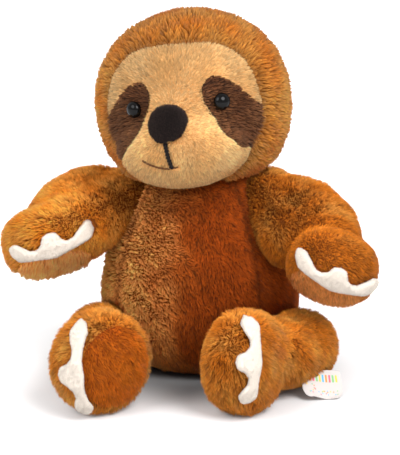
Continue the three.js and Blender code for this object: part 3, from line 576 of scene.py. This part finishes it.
# Pile
def clump_owners(roots, nap, random, longer):
    """The strand at the middle of each strand's clump; a clump is so many times longer along the nap."""
    middles = random.choice(len(roots), max(1, len(roots) // STRANDS_A_CLUMP), replace=False)
    tree = KDTree(len(middles))
    for place, index in enumerate(middles):
        tree.insert(roots[index], place)
    tree.balance()
    owners = np.empty(len(roots), int)
    for i, (point, way) in enumerate(zip(roots.tolist(), nap)):
        found = tree.find_n(point, CLUMPS_TRIED)
        offsets = np.array([place for place, _, _ in found]) - point
        along = offsets @ way
        across = (offsets ** 2).sum(1) - along ** 2
        owners[i] = found[(across + (along / longer) ** 2).argmin()][1]
    return middles[owners]


def spike_points(roots, tips, kind, random):
    """Three points round each root and one at its tip, all clear of the floor."""
    count = len(roots)
    way = unit(tips - roots)
    side = unit(np.cross(way, random.normal(size=(count, 3))))
    other = np.cross(way, side)
    width = kind.width * random.uniform(*WIDTH_RANGE, count) / 2
    points = np.empty((count, 4, 3))
    for corner in range(3):
        angle = 2 * math.pi * corner / 3
        outwards = math.cos(angle) * side + math.sin(angle) * other
        points[:, corner] = roots - way * ROOT_DEPTH + outwards * width[:, None]
    points[:, 3] = tips
    points[:, :, 2] = np.maximum(points[:, :, 2], FLOOR_CLEARANCE)
    return points.reshape(-1, 3)


def spike_colours(owner, kind, random, warmth, light, tinge):
    """The colour of each of a spike's four points; the strands of one clump are about as light."""
    count = len(owner)
    shade = random.normal(1, kind.shade, count)[owner] * random.normal(1, kind.shade, count)
    shade = (shade * light)[:, None]
    warm = np.clip(warmth + random.normal(0, WARMTH_SPREAD, count), 0, 1)[:, None]
    colours = np.empty((count, 4, 3))
    colours[:, :3] = (kind.root * shade * tinge)[:, None]
    colours[:, 3] = (kind.tip * (1 - warm) + kind.warm * warm) * shade * tinge
    return np.clip(colours.reshape(-1, 3), 0, 1)


def spike_faces(count):
    """The three sides of each of so many spikes."""
    start = 4 * np.arange(count)[:, None, None]
    return (start + np.array([[0, 1, 3], [1, 2, 3], [2, 0, 3]])).reshape(-1, 3)


def strands(roots, normals, nap, kind, random, length=1.0, warmth=0.0, light=1.0, tinge=1.0, clump=1.0,
            longer=CLUMP_LENGTH, ridge=CLUMP_RIDGE):
    """Points, faces and colours of a pile: thin three-sided spikes that lean along the nap."""
    count = len(roots)
    lean = kind.lean * random.normal(1, LEAN_SPREAD, count)
    length = kind.length * length * random.uniform(*LENGTH_RANGE, count)
    length = length * (1 + LONGEST_EXTRA * random.random(count) ** LONGEST_RARITY)
    way = unit(normals + nap * lean[:, None] + random.normal(0, WAY_SPREAD, (count, 3)))
    tips = roots + way * length[:, None]
    owner = clump_owners(roots, nap, random, longer)
    towards = tips[owner] - tips
    towards -= ridge * (towards * nap).sum(1, keepdims=True) * nap
    tips += towards * np.reshape(kind.clump * clump * np.ones(count), (-1, 1))
    points = spike_points(roots, tips, kind, random)
    return points, spike_faces(count), spike_colours(owner, kind, random, warmth, light, tinge)


def settle(piece, slot, body, nodes):
    """A piece's material, the body that it rides on, and the nodes that it stands for, if any."""
    piece.data.materials.append(LOOKS[slot])
    if nodes:
        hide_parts(*nodes)
    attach(piece, body)


def coloured_piece(name, parts, slot, body, nodes):
    """One piece out of several (points, faces, colours)."""
    piece = mesh_object(name, *joined(parts))
    tint = piece.data.color_attributes.new("tint", "FLOAT_COLOR", "POINT")
    rows = np.ones((len(piece.data.vertices), 4), np.float32)
    rows[:, :3] = np.concatenate([part[2] for part in parts])
    tint.data.foreach_set("color", rows.ravel())
    settle(piece, slot, body, nodes)
    return piece


def pile_pieces(name, skin_part, pile, slot, body, nodes):
    """The cloth with its pile, as several pieces where one would have too many faces."""
    points, faces, colours = pile
    pieces_needed = math.ceil(len(faces) / (MOST_FACES - len(skin_part[1])))
    order = np.argsort(points[3::4, 1])
    for number, chosen in enumerate(np.array_split(order, pieces_needed)):
        rows = (4 * chosen[:, None] + np.arange(4)).ravel()
        own = (points[rows], spike_faces(len(chosen)), colours[rows])
        if number == 0:
            piece = coloured_piece(name, [skin_part, own], slot, body, nodes)
        else:
            piece = coloured_piece(f"{name}_{number}", [own], slot, body, [])


# Materials
def material(name, roughness, gloss):
    made = bpy.data.materials.new(name)
    made.use_nodes = True
    shader = made.node_tree.nodes["Principled BSDF"]
    shader.inputs["Roughness"].default_value = roughness
    shader.inputs["Specular IOR Level"].default_value = gloss
    return made, made.node_tree, shader


def noise_node(tree, size, detail):
    place = tree.nodes.new("ShaderNodeTexCoord")
    noise = tree.nodes.new("ShaderNodeTexNoise")
    noise.inputs["Scale"].default_value = 1 / size
    noise.inputs["Detail"].default_value = detail
    tree.links.new(place.outputs["Object"], noise.inputs["Vector"])
    return noise


def range_node(tree, source, start, end, low, high, rise="LINEAR"):
    """Low where the source is at its start and high where it is at its end."""
    node = tree.nodes.new("ShaderNodeMapRange")
    node.interpolation_type = rise
    for name, value in (("From Min", start), ("From Max", end), ("To Min", low), ("To Max", high)):
        node.inputs[name].default_value = value
    tree.links.new(source, node.inputs["Value"])
    return node.outputs["Result"]


def math_node(tree, operation, one, two):
    node = tree.nodes.new("ShaderNodeMath")
    node.operation = operation
    tree.links.new(one, node.inputs[0])
    tree.links.new(two, node.inputs[1])
    return node.outputs[0]


def colour_node(tree, share, low, high):
    """From one colour to another; 6, 7 and 2 are the node's sockets for colours."""
    mix = tree.nodes.new("ShaderNodeMix")
    mix.data_type = "RGBA"
    mix.inputs[6].default_value = (*low, 1)
    mix.inputs[7].default_value = (*high, 1)
    tree.links.new(share, mix.inputs[0])
    return mix.outputs[2]


def pile_material(name, speckle_size, variation):
    """Colour from the mesh's own tint, broken up by a fine speckle."""
    made, tree, shader = material(name, PILE_ROUGHNESS, PILE_GLOSS)
    shader.inputs["Sheen Weight"].default_value = PILE_SHEEN
    shader.inputs["Sheen Roughness"].default_value = SHEEN_ROUGHNESS
    shader.inputs["Sheen Tint"].default_value = SHEEN_COLOUR
    tint = tree.nodes.new("ShaderNodeVertexColor")
    tint.layer_name = "tint"
    speckle = noise_node(tree, speckle_size, SPECKLE_DETAIL)
    share = range_node(tree, speckle.outputs["Fac"], 0, 1, 1 - variation, 1 + variation)
    scale = tree.nodes.new("ShaderNodeVectorMath")
    scale.operation = "SCALE"
    tree.links.new(tint.outputs["Color"], scale.inputs[0])
    tree.links.new(share, scale.inputs["Scale"])
    tree.links.new(scale.outputs["Vector"], shader.inputs["Base Color"])
    return made


def hard_material(name, colour, roughness, grain, bump, variation, gloss):
    """One colour with a fine grain in its height and its lightness."""
    made, tree, shader = material(name, roughness, gloss)
    noise = noise_node(tree, grain, GRAIN_DETAIL)
    bumped = tree.nodes.new("ShaderNodeBump")
    bumped.inputs["Strength"].default_value = bump
    bumped.inputs["Distance"].default_value = grain
    lighter = np.minimum(colour * (1 + variation), 1)
    grained = colour_node(tree, noise.outputs["Fac"], colour * (1 - variation), lighter)
    tree.links.new(noise.outputs["Fac"], bumped.inputs["Height"])
    tree.links.new(bumped.outputs["Normal"], shader.inputs["Normal"])
    tree.links.new(grained, shader.inputs["Base Color"])
    return made


LOOKS = {slot: pile_material(slot, *values) for slot, values in PILE_LOOKS.items()}
LOOKS.update({slot: hard_material(slot, *values) for slot, values in HARD_LOOKS.items()})


# Cloth surfaces
def limb_skin(body):
    """A limb's cloth, with the plug by which it reaches into the body."""
    limb = LIMBS[body]
    plug = PLUGS[body]
    root = joint_place(limb)
    end = root + (box_middle(limb.pad) - root) * plug.reach_share + np.array([0, 0, plug.lift])
    chain = ball_chain(root, end, plug.root_radius, plug.end_radius)
    return Skin([limb.cover, limb.pad, limb.filling], VOXEL, LIMB_SMOOTHING, [chain])


torso_skin = Skin(["body_cover", "body_filling"], VOXEL, BODY_SMOOTHING)
head_skin = Skin([*PANELS, "head_filling"], VOXEL, HEAD_SMOOTHING)
panel_trees = [tree_of(node) for node in PANELS]
panel_of_point, _ = nearest_of(head_skin.points, panel_trees)
limb_skins = {body: limb_skin(body) for body in LIMBS}
torso_skin.moved_out(-BODY_DEPTH)
head_skin.moved_out(-np.array([panel.depth for panel in PANELS.values()])[panel_of_point])
for own_skin in limb_skins.values():
    own_skin.moved_out(-LIMB_DEPTH)


# Body
def side_seam_distance(points):
    """How far each point is from the nearer side seam of the body."""
    middle = box_middle("body_cover")
    round_from_front = np.arctan2(np.abs(points[:, 0] - middle[0]), middle[1] - points[:, 1])
    radius = np.hypot(points[:, 0] - middle[0], points[:, 1] - middle[1])
    return np.abs(round_from_front - SIDE_SEAM) * radius


def downwards_shares(roots):
    """How far the pile lies down instead of sideways, and how far it is painted darker and redder as a
    painted shade.
    """
    ragged = roots[:, 0] + blotches(roots, *BELLY_EDGE)
    behind = smooth_step(*BACK, roots[:, 1] - box_middle("body_cover")[1])
    shares = [smooth_step(*reach, ragged) for reach in (BELLY_TURN, BELLY_FADE)]
    return [share + (BACK_SHARE - share) * behind for share in shares]


def body_nap(roots, normals, downwards):
    """Sideways or down, with curls."""
    sideways = along_surface(np.array(SIDEWAYS_NAP), normals)
    down = along_surface(np.array(DOWNWARDS_NAP), normals)
    curl = blotches(roots, *BELLY_CURL)[:, None] * np.cross(normals, sideways)
    return along_surface(sideways * (1 - downwards) + down * downwards + curl, normals)


def torso_pieces():
    random = np.random.default_rng(SEEDS["torso"])
    roots, normals = torso_skin.scatter(PLUSH.density, random)
    room = room_beside(roots, [head_skin, *limb_skins.values()])
    roots, normals, room = kept(room > -HIDDEN_BODY, roots, normals, room)
    downwards, redder = downwards_shares(roots)
    away = side_seam_distance(roots)
    # painted shade in creases beside the head and limbs, with random mottle
    light = (1 + blotches(roots, *BODY_MOTTLE)) * crease_shade(room)
    # painted shade along the side seams
    light *= 1 - SEAM_PAINTED_SHADE * np.exp(-away / SEAM_FADE)
    length = BODY_LENGTH * np.where(away < SEAM_WIDTH, BODY_SEAM_LENGTH, 1.0)
    # painted sheen where the pile lies sideways, painted shade where it lies down
    tinge = SIDEWAYS_PAINTED_SHEEN * (1 - redder[:, None]) + DOWNWARDS_PAINTED_SHADE * redder[:, None]
    nap = body_nap(roots, normals, downwards[:, None])
    pile = strands(roots, normals, nap, PLUSH, random, length=length, warmth=mixed(BODY_WARMTH, downwards),
                   light=light, tinge=tinge, clump=mixed(BODY_CLUMP, downwards),
                   longer=BODY_CLUMP_LENGTH, ridge=BODY_CLUMP_RIDGE)
    # the cloth under the torso's pile, darker than its roots: painted shade
    pile_pieces("body_plush", torso_skin.part(slice(None), PLUSH.root * TORSO_SKIN_PAINTED_LIGHT), pile,
                "plush_brown", "torso", ["body_cover", "body_filling", "pellet_bag"])


# Arms and legs
def clear_of_claws(roots, normals, claw_tree):
    """Which strands neither start under the claws nor reach through them."""
    keep = np.ones(len(roots), bool)
    for share in CLAW_STEM_SHARES:
        points = (roots + normals * CLAW_STEM * share).tolist()
        keep &= np.array([claw_tree.find_nearest(point, CLAW_GAP)[3] is None for point in points])
    return keep


def under_claws(roots, normals, claw_tree):
    """Which roots have the claws right above them."""
    starts = (roots - normals * UNDER_CLAW_START).tolist()
    return np.array([claw_tree.ray_cast(start, way, UNDER_CLAW_REACH)[0] is not None
                     for start, way in zip(starts, normals.tolist())])


def limb_roots(body, random):
    """Where the strands of a limb grow, with their normals and the room beside them."""
    roots, normals = limb_skins[body].scatter(PLUSH.density, random)
    room = room_beside(roots, [torso_skin, head_skin])
    claw_tree = tree_of(LIMBS[body].claws)
    keep = (room > -HIDDEN_LIMB) & ~under_claws(roots, normals, claw_tree)
    return kept(keep & clear_of_claws(roots, normals, claw_tree), roots, normals, room)


def limb_naps(limb, roots, normals, past_wrist):
    """The way the pile lies on a limb's cover and on its pad; on an arm it runs down to the wrist."""
    root = joint_place(limb)
    outer_side = math.copysign(1, root[0])
    naps = [along_surface(np.array([across * outer_side, back, up]), normals)
            for across, back, up in (COVER_NAP[limb.kind], PAD_NAP)]
    if limb.kind == "arm":
        along_arm = along_surface(unit(box_middle(limb.pad) - root), normals)
        naps[0] = along_surface(along_arm * (1 - past_wrist) + naps[0] * past_wrist, normals)
    curl = blotches(roots, LIMB_CURL[limb.kind], LIMB_CURL_SIZE, LIMB_CURL_SEED)[:, None]
    return [along_surface(nap + curl * np.cross(normals, nap), normals) for nap in naps]


def limb_shades(body, roots, room, past_wrist):
    """How long and warm each strand of a limb is, and its painted light and shade."""
    own = LIMB_PILE[body]
    from_pad = np.linalg.norm(roots - box_middle(LIMBS[body].pad), axis=1)
    short = own.short * (1 - smooth_step(*SHORT_PILE_REACH, from_pad))
    warmth = own.warmth + blotches(roots, *LIMB_WARM_SPOTS) + short
    # painted light of the limb, with random mottle and painted shade in its creases; past the wrist, more
    # painted light
    light = own.light * (1 + blotches(roots, *LIMB_MOTTLE)) * crease_shade(room)
    return 1 - short, warmth, light * (1 + own.hand * past_wrist)


def limb_pieces(body):
    limb = LIMBS[body]
    skin = limb_skins[body]
    random = np.random.default_rng(sum(map(ord, body)))
    roots, normals, room = limb_roots(body, random)
    trees = [tree_of(limb.cover), tree_of(limb.pad)]
    which, margin = nearest_of(roots + normals * LIMB_DEPTH, trees)
    triangle_owner, _ = nearest_of(skin.points[skin.triangles].mean(1), trees)
    root = joint_place(limb)
    reach = box_middle(limb.pad) - root
    past_wrist = smooth_step(*WRIST_SHARES, (roots - root) @ reach / (reach ** 2).sum())
    naps = limb_naps(limb, roots, normals, past_wrist[:, None])
    length, warmth, light = limb_shades(body, roots, room, past_wrist)
    parts = ((PLUSH, f"{body}_plush", "plush_brown", [limb.cover, limb.filling]),
             (LIMB_PILE[body].pad, f"{body}_pad", "plush_rust", [limb.pad]))
    for index, (kind, name, slot, nodes) in enumerate(parts):
        mine = which == index
        seam = np.where(margin[mine] < SEAM_WIDTH, LIMB_SEAM_LENGTH, 1.0)
        pile = strands(roots[mine], normals[mine], naps[index][mine], kind, random,
                       length=seam * length[mine], warmth=warmth[mine], light=light[mine],
                       clump=LIMB_CLUMP[limb.kind])
        # the cloth under the limb's pile, darker than its roots: painted shade
        skin_part = skin.part(triangle_owner == index, kind.root * SKIN_PAINTED_LIGHT)
        pile_pieces(name, skin_part, pile, slot, body, nodes)


def claw_piece(body):
    claws = LIMBS[body].claws
    skin = Skin([claws], CLAW_VOXEL, CLAW_SMOOTHING).moved_out(CLAW_PUFF)
    random = np.random.default_rng(sum(map(ord, claws)))
    roots, normals = skin.scatter(FUZZ.density, random)
    nap = along_surface(random.normal(size=(len(roots), 3)), normals)
    clearance = limb_skins[body].clearance(roots)
    # painted shade on the felt where it meets the limb's pile
    light = 1 - CLAW_EDGE_PAINTED_SHADE * np.exp(-np.maximum(clearance, 0) / CLAW_EDGE_FADE)
    fuzz = strands(roots, normals, nap, FUZZ, random, light=light)
    pile_pieces(f"{claws}_felt", skin.part(slice(None), FUZZ.root), fuzz, "felt_white", body, [claws])


# Mouth
def face_point(across, height, lift):
    """The point on the face at that place of the head, seen from the front, lifted off the cloth."""
    place = Matrix.Translation(HEAD_PLACE) @ Matrix.Rotation(math.radians(HEAD_LEAN), 4, "Y")
    start = place @ Vector((across, -BEFORE_FACE, height))
    hit, normal, _, _ = head_skin.tree.ray_cast(start, place.to_3x3() @ Vector((0, 1, 0)))
    return hit + normal * lift


def tube(centre, side, other, radius):
    """A closed tube round a path, drawn almost to a point at both ends."""
    angles = 2 * math.pi * np.arange(TUBE_SIDES) / TUBE_SIDES
    across = np.cos(angles)[None, :, None] * side[:, None]
    ring = across + np.sin(angles)[None, :, None] * other[:, None]
    taper = np.ones(len(centre))
    taper[[0, -1]] = TUBE_END_SHARE
    points = centre[:, None] + ring * (radius * taper)[:, None, None]
    rings = np.arange(len(centre) - 1)[:, None] * TUBE_SIDES
    first = (rings + np.arange(TUBE_SIDES)).ravel()
    second = (rings + (np.arange(TUBE_SIDES) + 1) % TUBE_SIDES).ravel()
    faces = np.concatenate([np.stack([first, second, second + TUBE_SIDES], 1),
                            np.stack([first, second + TUBE_SIDES, first + TUBE_SIDES], 1)])
    return points.reshape(-1, 3), faces


def twisted_thread(path, radii):
    """Two plies wound round each other along a path, from one radius to another."""
    path = np.array(path)
    steps = np.linalg.norm(np.diff(path, axis=0), axis=1)
    lengths = np.concatenate([[0], np.cumsum(steps)])
    fine = np.linspace(0, lengths[-1], max(FEWEST_STEPS, int(lengths[-1] / THREAD_STEP)))
    middle = np.stack([np.interp(fine, lengths, path[:, axis]) for axis in range(3)], 1)
    radius = np.linspace(*radii, len(fine))
    way = unit(np.gradient(middle, axis=0))
    side = unit(np.cross(way, [0.0, 1.0, 0.0]))
    other = np.cross(way, side)
    parts = []
    for phase in (0, math.pi):
        turn = phase + 2 * math.pi * fine / TWIST_PITCH
        outwards = np.cos(turn)[:, None] * side + np.sin(turn)[:, None] * other
        centre = middle + outwards * radius[:, None] * PLY_OFFSET_SHARE
        parts.append(tube(centre, side, other, radius * PLY_RADIUS_SHARE))
    return joined(parts)


def philtrum_path():
    """Down from the nose to the smile."""
    heights = np.linspace(PHILTRUM_TOP, MOUTH_HEIGHT, PHILTRUM_POINTS)
    places = NOSE_ACROSS + np.linspace(*PHILTRUM_SLANT, PHILTRUM_POINTS)
    return [face_point(across, height, PHILTRUM_LIFT) for across, height in zip(places, heights)]


def smile_path():
    """The smile sinks into the pile towards the toy's left."""
    path = []
    for side in np.linspace(-1, SMILE_SHARES[1], SMILE_POINTS):
        across = NOSE_ACROSS + side * MOUTH_HALF_WIDTH
        lift = SMILE_LIFT * (1 - smooth_step(*SMILE_SHARES, side))
        path.append(face_point(across, MOUTH_HEIGHT + MOUTH_CURL * side ** 2, lift))
    return path


def mouth_piece():
    parts = []
    for path, radii, colour in ((philtrum_path(), PHILTRUM_RADIUS, PHILTRUM_COLOUR),
                                (smile_path(), SMILE_RADIUS, SMILE_COLOUR)):
        points, faces = twisted_thread(path, radii)
        parts.append((points, faces, np.tile(colour, (len(points), 1))))
    coloured_piece("mouth_thread", parts, "thread_black", "head", ["mouth_stitch"])


def clear_of_thread(roots):
    """Which roots aren't under the mouth's thread."""
    path = [*philtrum_path(), *smile_path()]
    tree = KDTree(len(path))
    for index, point in enumerate(path):
        tree.insert(point, index)
    tree.balance()
    return np.array([tree.find(point)[2] > THREAD_CLEARANCE for point in roots.tolist()])


# Head
def head_roots(random):
    """Where the head's strands grow, with their panel, how far the next one is, and their room."""
    kinds = [panel.kind for panel in PANELS.values()]
    thickest = max(kind.density for kind in kinds)
    roots, normals = head_skin.scatter(thickest, random)
    which, margin = nearest_of(roots + normals * PANEL_LIFT, panel_trees)
    share = np.array([kind.density / thickest for kind in kinds])
    thinned = random.random(len(roots)) < share[which]
    roots, normals, which, margin = kept(thinned, roots, normals, which, margin)
    beside_body = torso_skin.clearance(roots)
    room = np.minimum(beside_body, room_beside(roots, [limb_skins["arm_right"], limb_skins["arm_left"]]))
    keep = (beside_body > -HIDDEN_BODY) & clear_of_thread(roots)
    return kept(keep, roots, normals, which, margin, room)


def head_nap(roots, normals, on_hood):
    """Away from the nose and a little down, with curls on the hood."""
    outwards = along_surface(roots - box_middle("nose"), normals)
    curl = blotches(roots, *HOOD_CURL)[:, None] * on_hood[:, None]
    return along_surface(outwards + np.array(HEAD_FALL) + curl * np.cross(normals, outwards), normals)


def edge_light(node, roots, margin):
    """How much lighter or darker a panel's pile is painted near its edge, where the hood's darker edge is
    a painted shade, and the painted shade on the bridge of the nose.
    """
    edge = 1 + PANELS[node].edge * np.exp(-margin / PANELS[node].fade)
    if node == "muzzle_panel":
        # painted shade up the bridge of the nose
        edge += (BRIDGE_PAINTED_LIGHT - edge) * smooth_step(*BRIDGE, roots[:, 2])
    elif node == "forehead_panel":
        edge = 1 + (edge - 1) * smooth_step(*BRIDGE_SIDES, abs(roots[:, 0] - box_middle("nose")[0]))
    return edge


def head_pieces():
    random = np.random.default_rng(SEEDS["head"])
    roots, normals, which, margin, room = head_roots(random)
    on_hood = which == 0
    nap = head_nap(roots, normals, on_hood)
    # painted shade on the hood's crown, darker and redder
    crown = CROWN_PAINTED_SHADE * smooth_step(*HOOD_CROWN, roots[:, 2]) * on_hood
    # painted light and shade of each panel, with painted shade in creases
    panel_light = np.array([panel.light for panel in PANELS.values()])
    light = (1 + blotches(roots, *HEAD_MOTTLE)) * crease_shade(room) * panel_light[which] * (1 - crown)
    warmth = HEAD_WARMTH + blotches(roots, *HEAD_WARM_SPOTS) + crown
    triangle_owner = panel_of_point[head_skin.triangles[:, 0]]
    for index, (node, panel) in enumerate(PANELS.items()):
        mine = which == index
        seam = np.where(margin[mine] < SEAM_WIDTH, HEAD_SEAM_LENGTH, 1.0)
        own_light = light[mine] * edge_light(node, roots[mine], margin[mine])
        pile = strands(roots[mine], normals[mine], nap[mine], panel.kind, random, clump=panel.clump,
                       length=seam * panel.length, warmth=warmth[mine], light=own_light)
        # the cloth under the panel's pile, darker than its roots: painted shade
        skin_part = head_skin.part(triangle_owner == index, panel.kind.root * SKIN_PAINTED_LIGHT)
        nodes = [node, "head_filling"] if node == "head_hood" else [node]
        pile_pieces(f"{node}_pile", skin_part, pile, panel.slot, "head", nodes)


def nose_piece():
    skin = Skin(["nose"], NOSE_VOXEL, NOSE_SMOOTHING).moved_out(-NOSE_DEPTH)
    heights = skin.points[:, 2]
    skin.points += NOSE_DROOP * (1 - smooth_step(heights.min(), heights.max(), heights))[:, None]
    skin.measure()
    random = np.random.default_rng(SEEDS["nose"])
    roots, normals = skin.scatter(NOSE.density, random)
    pile = strands(roots, normals, along_surface(np.array(NOSE_NAP), normals), NOSE, random)
    pile_pieces("nose_pile", skin.part(slice(None), NOSE.root), pile, "nose_plush", "head", ["nose"])


def eye_piece(side):
    """A glossy flattened ball, whose front is the dome of the CAD eye."""
    node = f"eye_{side}"
    points, _ = triangles_of(NODES[node].data)
    spread = np.linalg.norm(points[:, None] - points[None], axis=2)
    one, two = np.unravel_index(spread.argmax(), spread.shape)
    apex, tip = sorted((points[one], points[two]), key=lambda point: point[1])
    way = unit(apex - tip)
    turn = Vector(way).to_track_quat("Z", "Y").to_matrix().to_4x4()
    size = Matrix.Diagonal((EYE_RADIUS, EYE_RADIUS, EYE_HEIGHT, 1))
    place = Matrix.Translation(apex - way * EYE_HEIGHT) @ turn @ size
    shape = bmesh.new()
    bmesh.ops.create_uvsphere(shape, u_segments=EYE_SEGMENTS[0], v_segments=EYE_SEGMENTS[1], radius=1)
    bmesh.ops.transform(shape, matrix=place, verts=shape.verts)
    settle(mesh_object(f"{node}_gloss", *drawn(shape)), "eye_black", "head", [node])


# Label
def label_axes():
    """The middle of the CAD label, and its long, short and thin directions."""
    points, _ = triangles_of(NODES["label"].data)
    middle = (points.max(0) + points.min(0)) / 2
    _, _, rows = np.linalg.svd(points - points.mean(0))
    long = rows[0] * np.sign(rows[0][0])
    short = rows[1] * -np.sign(rows[1][2])
    return middle, long, short, np.cross(long, short)


def label_print(across, down):
    """The colour of each point of the label: satin with short bars and dots, which say nothing."""
    colours = np.tile(LABEL_COLOUR, (*across.shape, 1))
    bar = LABEL_BAR_SHARES
    for number, place in enumerate(np.linspace(bar["first"], bar["last"], LABEL_BAR_COUNT)):
        inside = abs(across - place) < bar["half_width"] / LABEL_BAR_COUNT
        inside &= abs(down - bar["row"]) < bar["half_height"]
        colours[inside] = LABEL_INKS[number % len(LABEL_INKS)]
    dots = np.random.default_rng(SEEDS["label"]).uniform(*LABEL_DOT_SHARES, (LABEL_DOT_COUNT, 2))
    for number, (right, low) in enumerate(dots):
        distance = np.hypot((across - right) * LABEL_SIZE[0], (down - low) * LABEL_SIZE[1])
        colours[distance < LABEL_DOT_RADIUS] = LABEL_INKS[number % len(LABEL_INKS)]
    return colours


def label_shape(across, down):
    """How wide the label is at each point, for its round lower corners, and how far it waves."""
    length, height = LABEL_SIZE
    past = np.clip(down * height - (height / 2 - LABEL_CORNER), 0, LABEL_CORNER) / LABEL_CORNER
    width = length - 2 * LABEL_CORNER * (1 - np.sqrt(1 - past ** 2)) * LABEL_CORNER_SHARE
    turn, middle_turn = LABEL_RIPPLE
    half_way, over_all = LABEL_RIPPLE_SHARES
    ripple = np.sin(turn * across + middle_turn) * (half_way + down) * over_all
    return width, LABEL_WAVE * (ripple - LABEL_BEND_SHARE * across ** 2)


def label_piece():
    middle, long, short, thin = label_axes()
    across, down = np.meshgrid(np.linspace(-0.5, 0.5, LABEL_COLUMNS), np.linspace(-0.5, 0.5, LABEL_ROWS))
    width, wave = label_shape(across, down)
    points = middle + (across * width)[..., None] * long + (down * LABEL_SIZE[1])[..., None] * short
    points += wave[..., None] * thin
    rows = np.arange(LABEL_ROWS - 1)[:, None] * LABEL_COLUMNS
    first = (rows + np.arange(LABEL_COLUMNS - 1)).ravel()
    faces = np.stack([first, first + 1, first + LABEL_COLUMNS + 1, first + LABEL_COLUMNS], 1)
    colours = label_print(across, down).reshape(-1, 3)
    parts = [(points.reshape(-1, 3), faces, colours)]
    piece = coloured_piece("label_satin", parts, "label_satin", "leg_left", ["label"])
    thicken = piece.modifiers.new("thickness", "SOLIDIFY")
    thicken.thickness = LABEL_THICKNESS
    thicken.offset = 0


torso_pieces()
for limb_body in LIMBS:
    limb_pieces(limb_body)
    claw_piece(limb_body)
head_pieces()
nose_piece()
mouth_piece()
for eye_side in ("right", "left"):
    eye_piece(eye_side)
    washer_looks = NODES[f"eye_washer_{eye_side}"].data.materials
    washer_looks.clear()
    washer_looks.append(LOOKS["washer_white"])
label_piece()


# Floor, light and camera
def seen_ray(tree):
    """One for rays from the camera, also by a reflection or through glass, and zero for the rest."""
    path = tree.nodes.new("ShaderNodeLightPath")
    total = path.outputs["Is Camera Ray"]
    for kind in ("Is Glossy Ray", "Is Transmission Ray"):
        total = math_node(tree, "MAXIMUM", total, path.outputs[kind])
    return total


def floor_material():
    """Pale and dull, with a painted shadow right under the toy, and glowing white further off where it is
    seen.
    """
    made, tree, shader = material("floor", FLOOR_ROUGHNESS, 0)
    place = tree.nodes.new("ShaderNodeTexCoord")
    length = tree.nodes.new("ShaderNodeVectorMath")
    length.operation = "LENGTH"
    tree.links.new(place.outputs["Object"], length.inputs[0])
    distance = length.outputs["Value"]
    # painted shadow: darker in a disc under the toy
    away = range_node(tree, distance, *PAINTED_SHADOW_REACH, 0, 1, "SMOOTHSTEP")
    glow_share = range_node(tree, distance, GLOW_START, GLOW_FULL, 0, GLOW, "SMOOTHSTEP")
    glow = tree.nodes.new("ShaderNodeEmission")
    both = tree.nodes.new("ShaderNodeAddShader")
    colour = colour_node(tree, away, FLOOR_PAINTED_SHADOW, FLOOR_COLOUR)
    tree.links.new(colour, shader.inputs["Base Color"])
    tree.links.new(math_node(tree, "MULTIPLY", glow_share, seen_ray(tree)), glow.inputs["Strength"])
    tree.links.new(shader.outputs[0], both.inputs[0])
    tree.links.new(glow.outputs[0], both.inputs[1])
    tree.links.new(both.outputs[0], tree.nodes["Material Output"].inputs["Surface"])
    return made


def floor():
    """A pale floor that keeps its shadow near the toy, deepened there by a painted shadow, and turns to
    plain white further off.
    """
    half = FLOOR_HALF_WIDTH
    corners = [(-half, -half, 0), (half, -half, 0), (half, half, 0), (-half, half, 0)]
    plane = mesh_object("floor", corners, [(0, 1, 2, 3)])
    plane.location = FLOOR_MIDDLE
    plane.data.materials.append(floor_material())


def world():
    """White where it is seen, and a soft light from all round."""
    made = bpy.data.worlds.new("studio")
    made.use_nodes = True
    tree = made.node_tree
    background = tree.nodes["Background"]
    background.inputs["Color"].default_value = (1, 1, 1, 1)
    place = tree.nodes.new("ShaderNodeTexCoord")
    parts = tree.nodes.new("ShaderNodeSeparateXYZ")
    tree.links.new(place.outputs["Generated"], parts.inputs[0])
    strength = tree.nodes.new("ShaderNodeMix")
    strength.inputs[3].default_value = 1.0
    tree.links.new(seen_ray(tree), strength.inputs[0])
    from_above = range_node(tree, parts.outputs["Z"], *WORLD_TURN, WORLD_LOW, WORLD_HIGH)
    tree.links.new(from_above, strength.inputs[2])
    tree.links.new(strength.outputs[0], background.inputs["Strength"])
    bpy.context.scene.world = made


def aimed(name, data, azimuth, elevation, distance):
    """A camera or lamp that looks at the toy from that azimuth and elevation."""
    turned, raised = math.radians(azimuth), math.radians(elevation)
    level = math.cos(raised)
    back = Vector((math.sin(turned) * level, -math.cos(turned) * level, math.sin(raised)))
    holder = bpy.data.objects.new(name, data)
    bpy.context.scene.collection.objects.link(holder)
    holder.location = LOOK_AT + back * distance
    holder.rotation_mode = "QUATERNION"
    holder.rotation_quaternion = (-back).to_track_quat("-Z", "Y")
    return holder


def area_light(name, azimuth, elevation, distance, width, power):
    lamp = bpy.data.lights.new(name, "AREA")
    lamp.shape = "DISK"
    lamp.size = width
    lamp.energy = power
    aimed(name, lamp, azimuth, elevation, distance)


def camera():
    lens = bpy.data.cameras.new("camera")
    lens.lens = LENS
    lens.sensor_width = SENSOR
    bpy.context.scene.camera = aimed("camera", lens, CAMERA_AZIMUTH, CAMERA_ELEVATION, CAMERA_DISTANCE)


floor()
world()
camera()
area_light("key", *KEY_LIGHT)
area_light("fill", *FILL_LIGHT)
bpy.context.scene.view_settings.view_transform = "Standard"
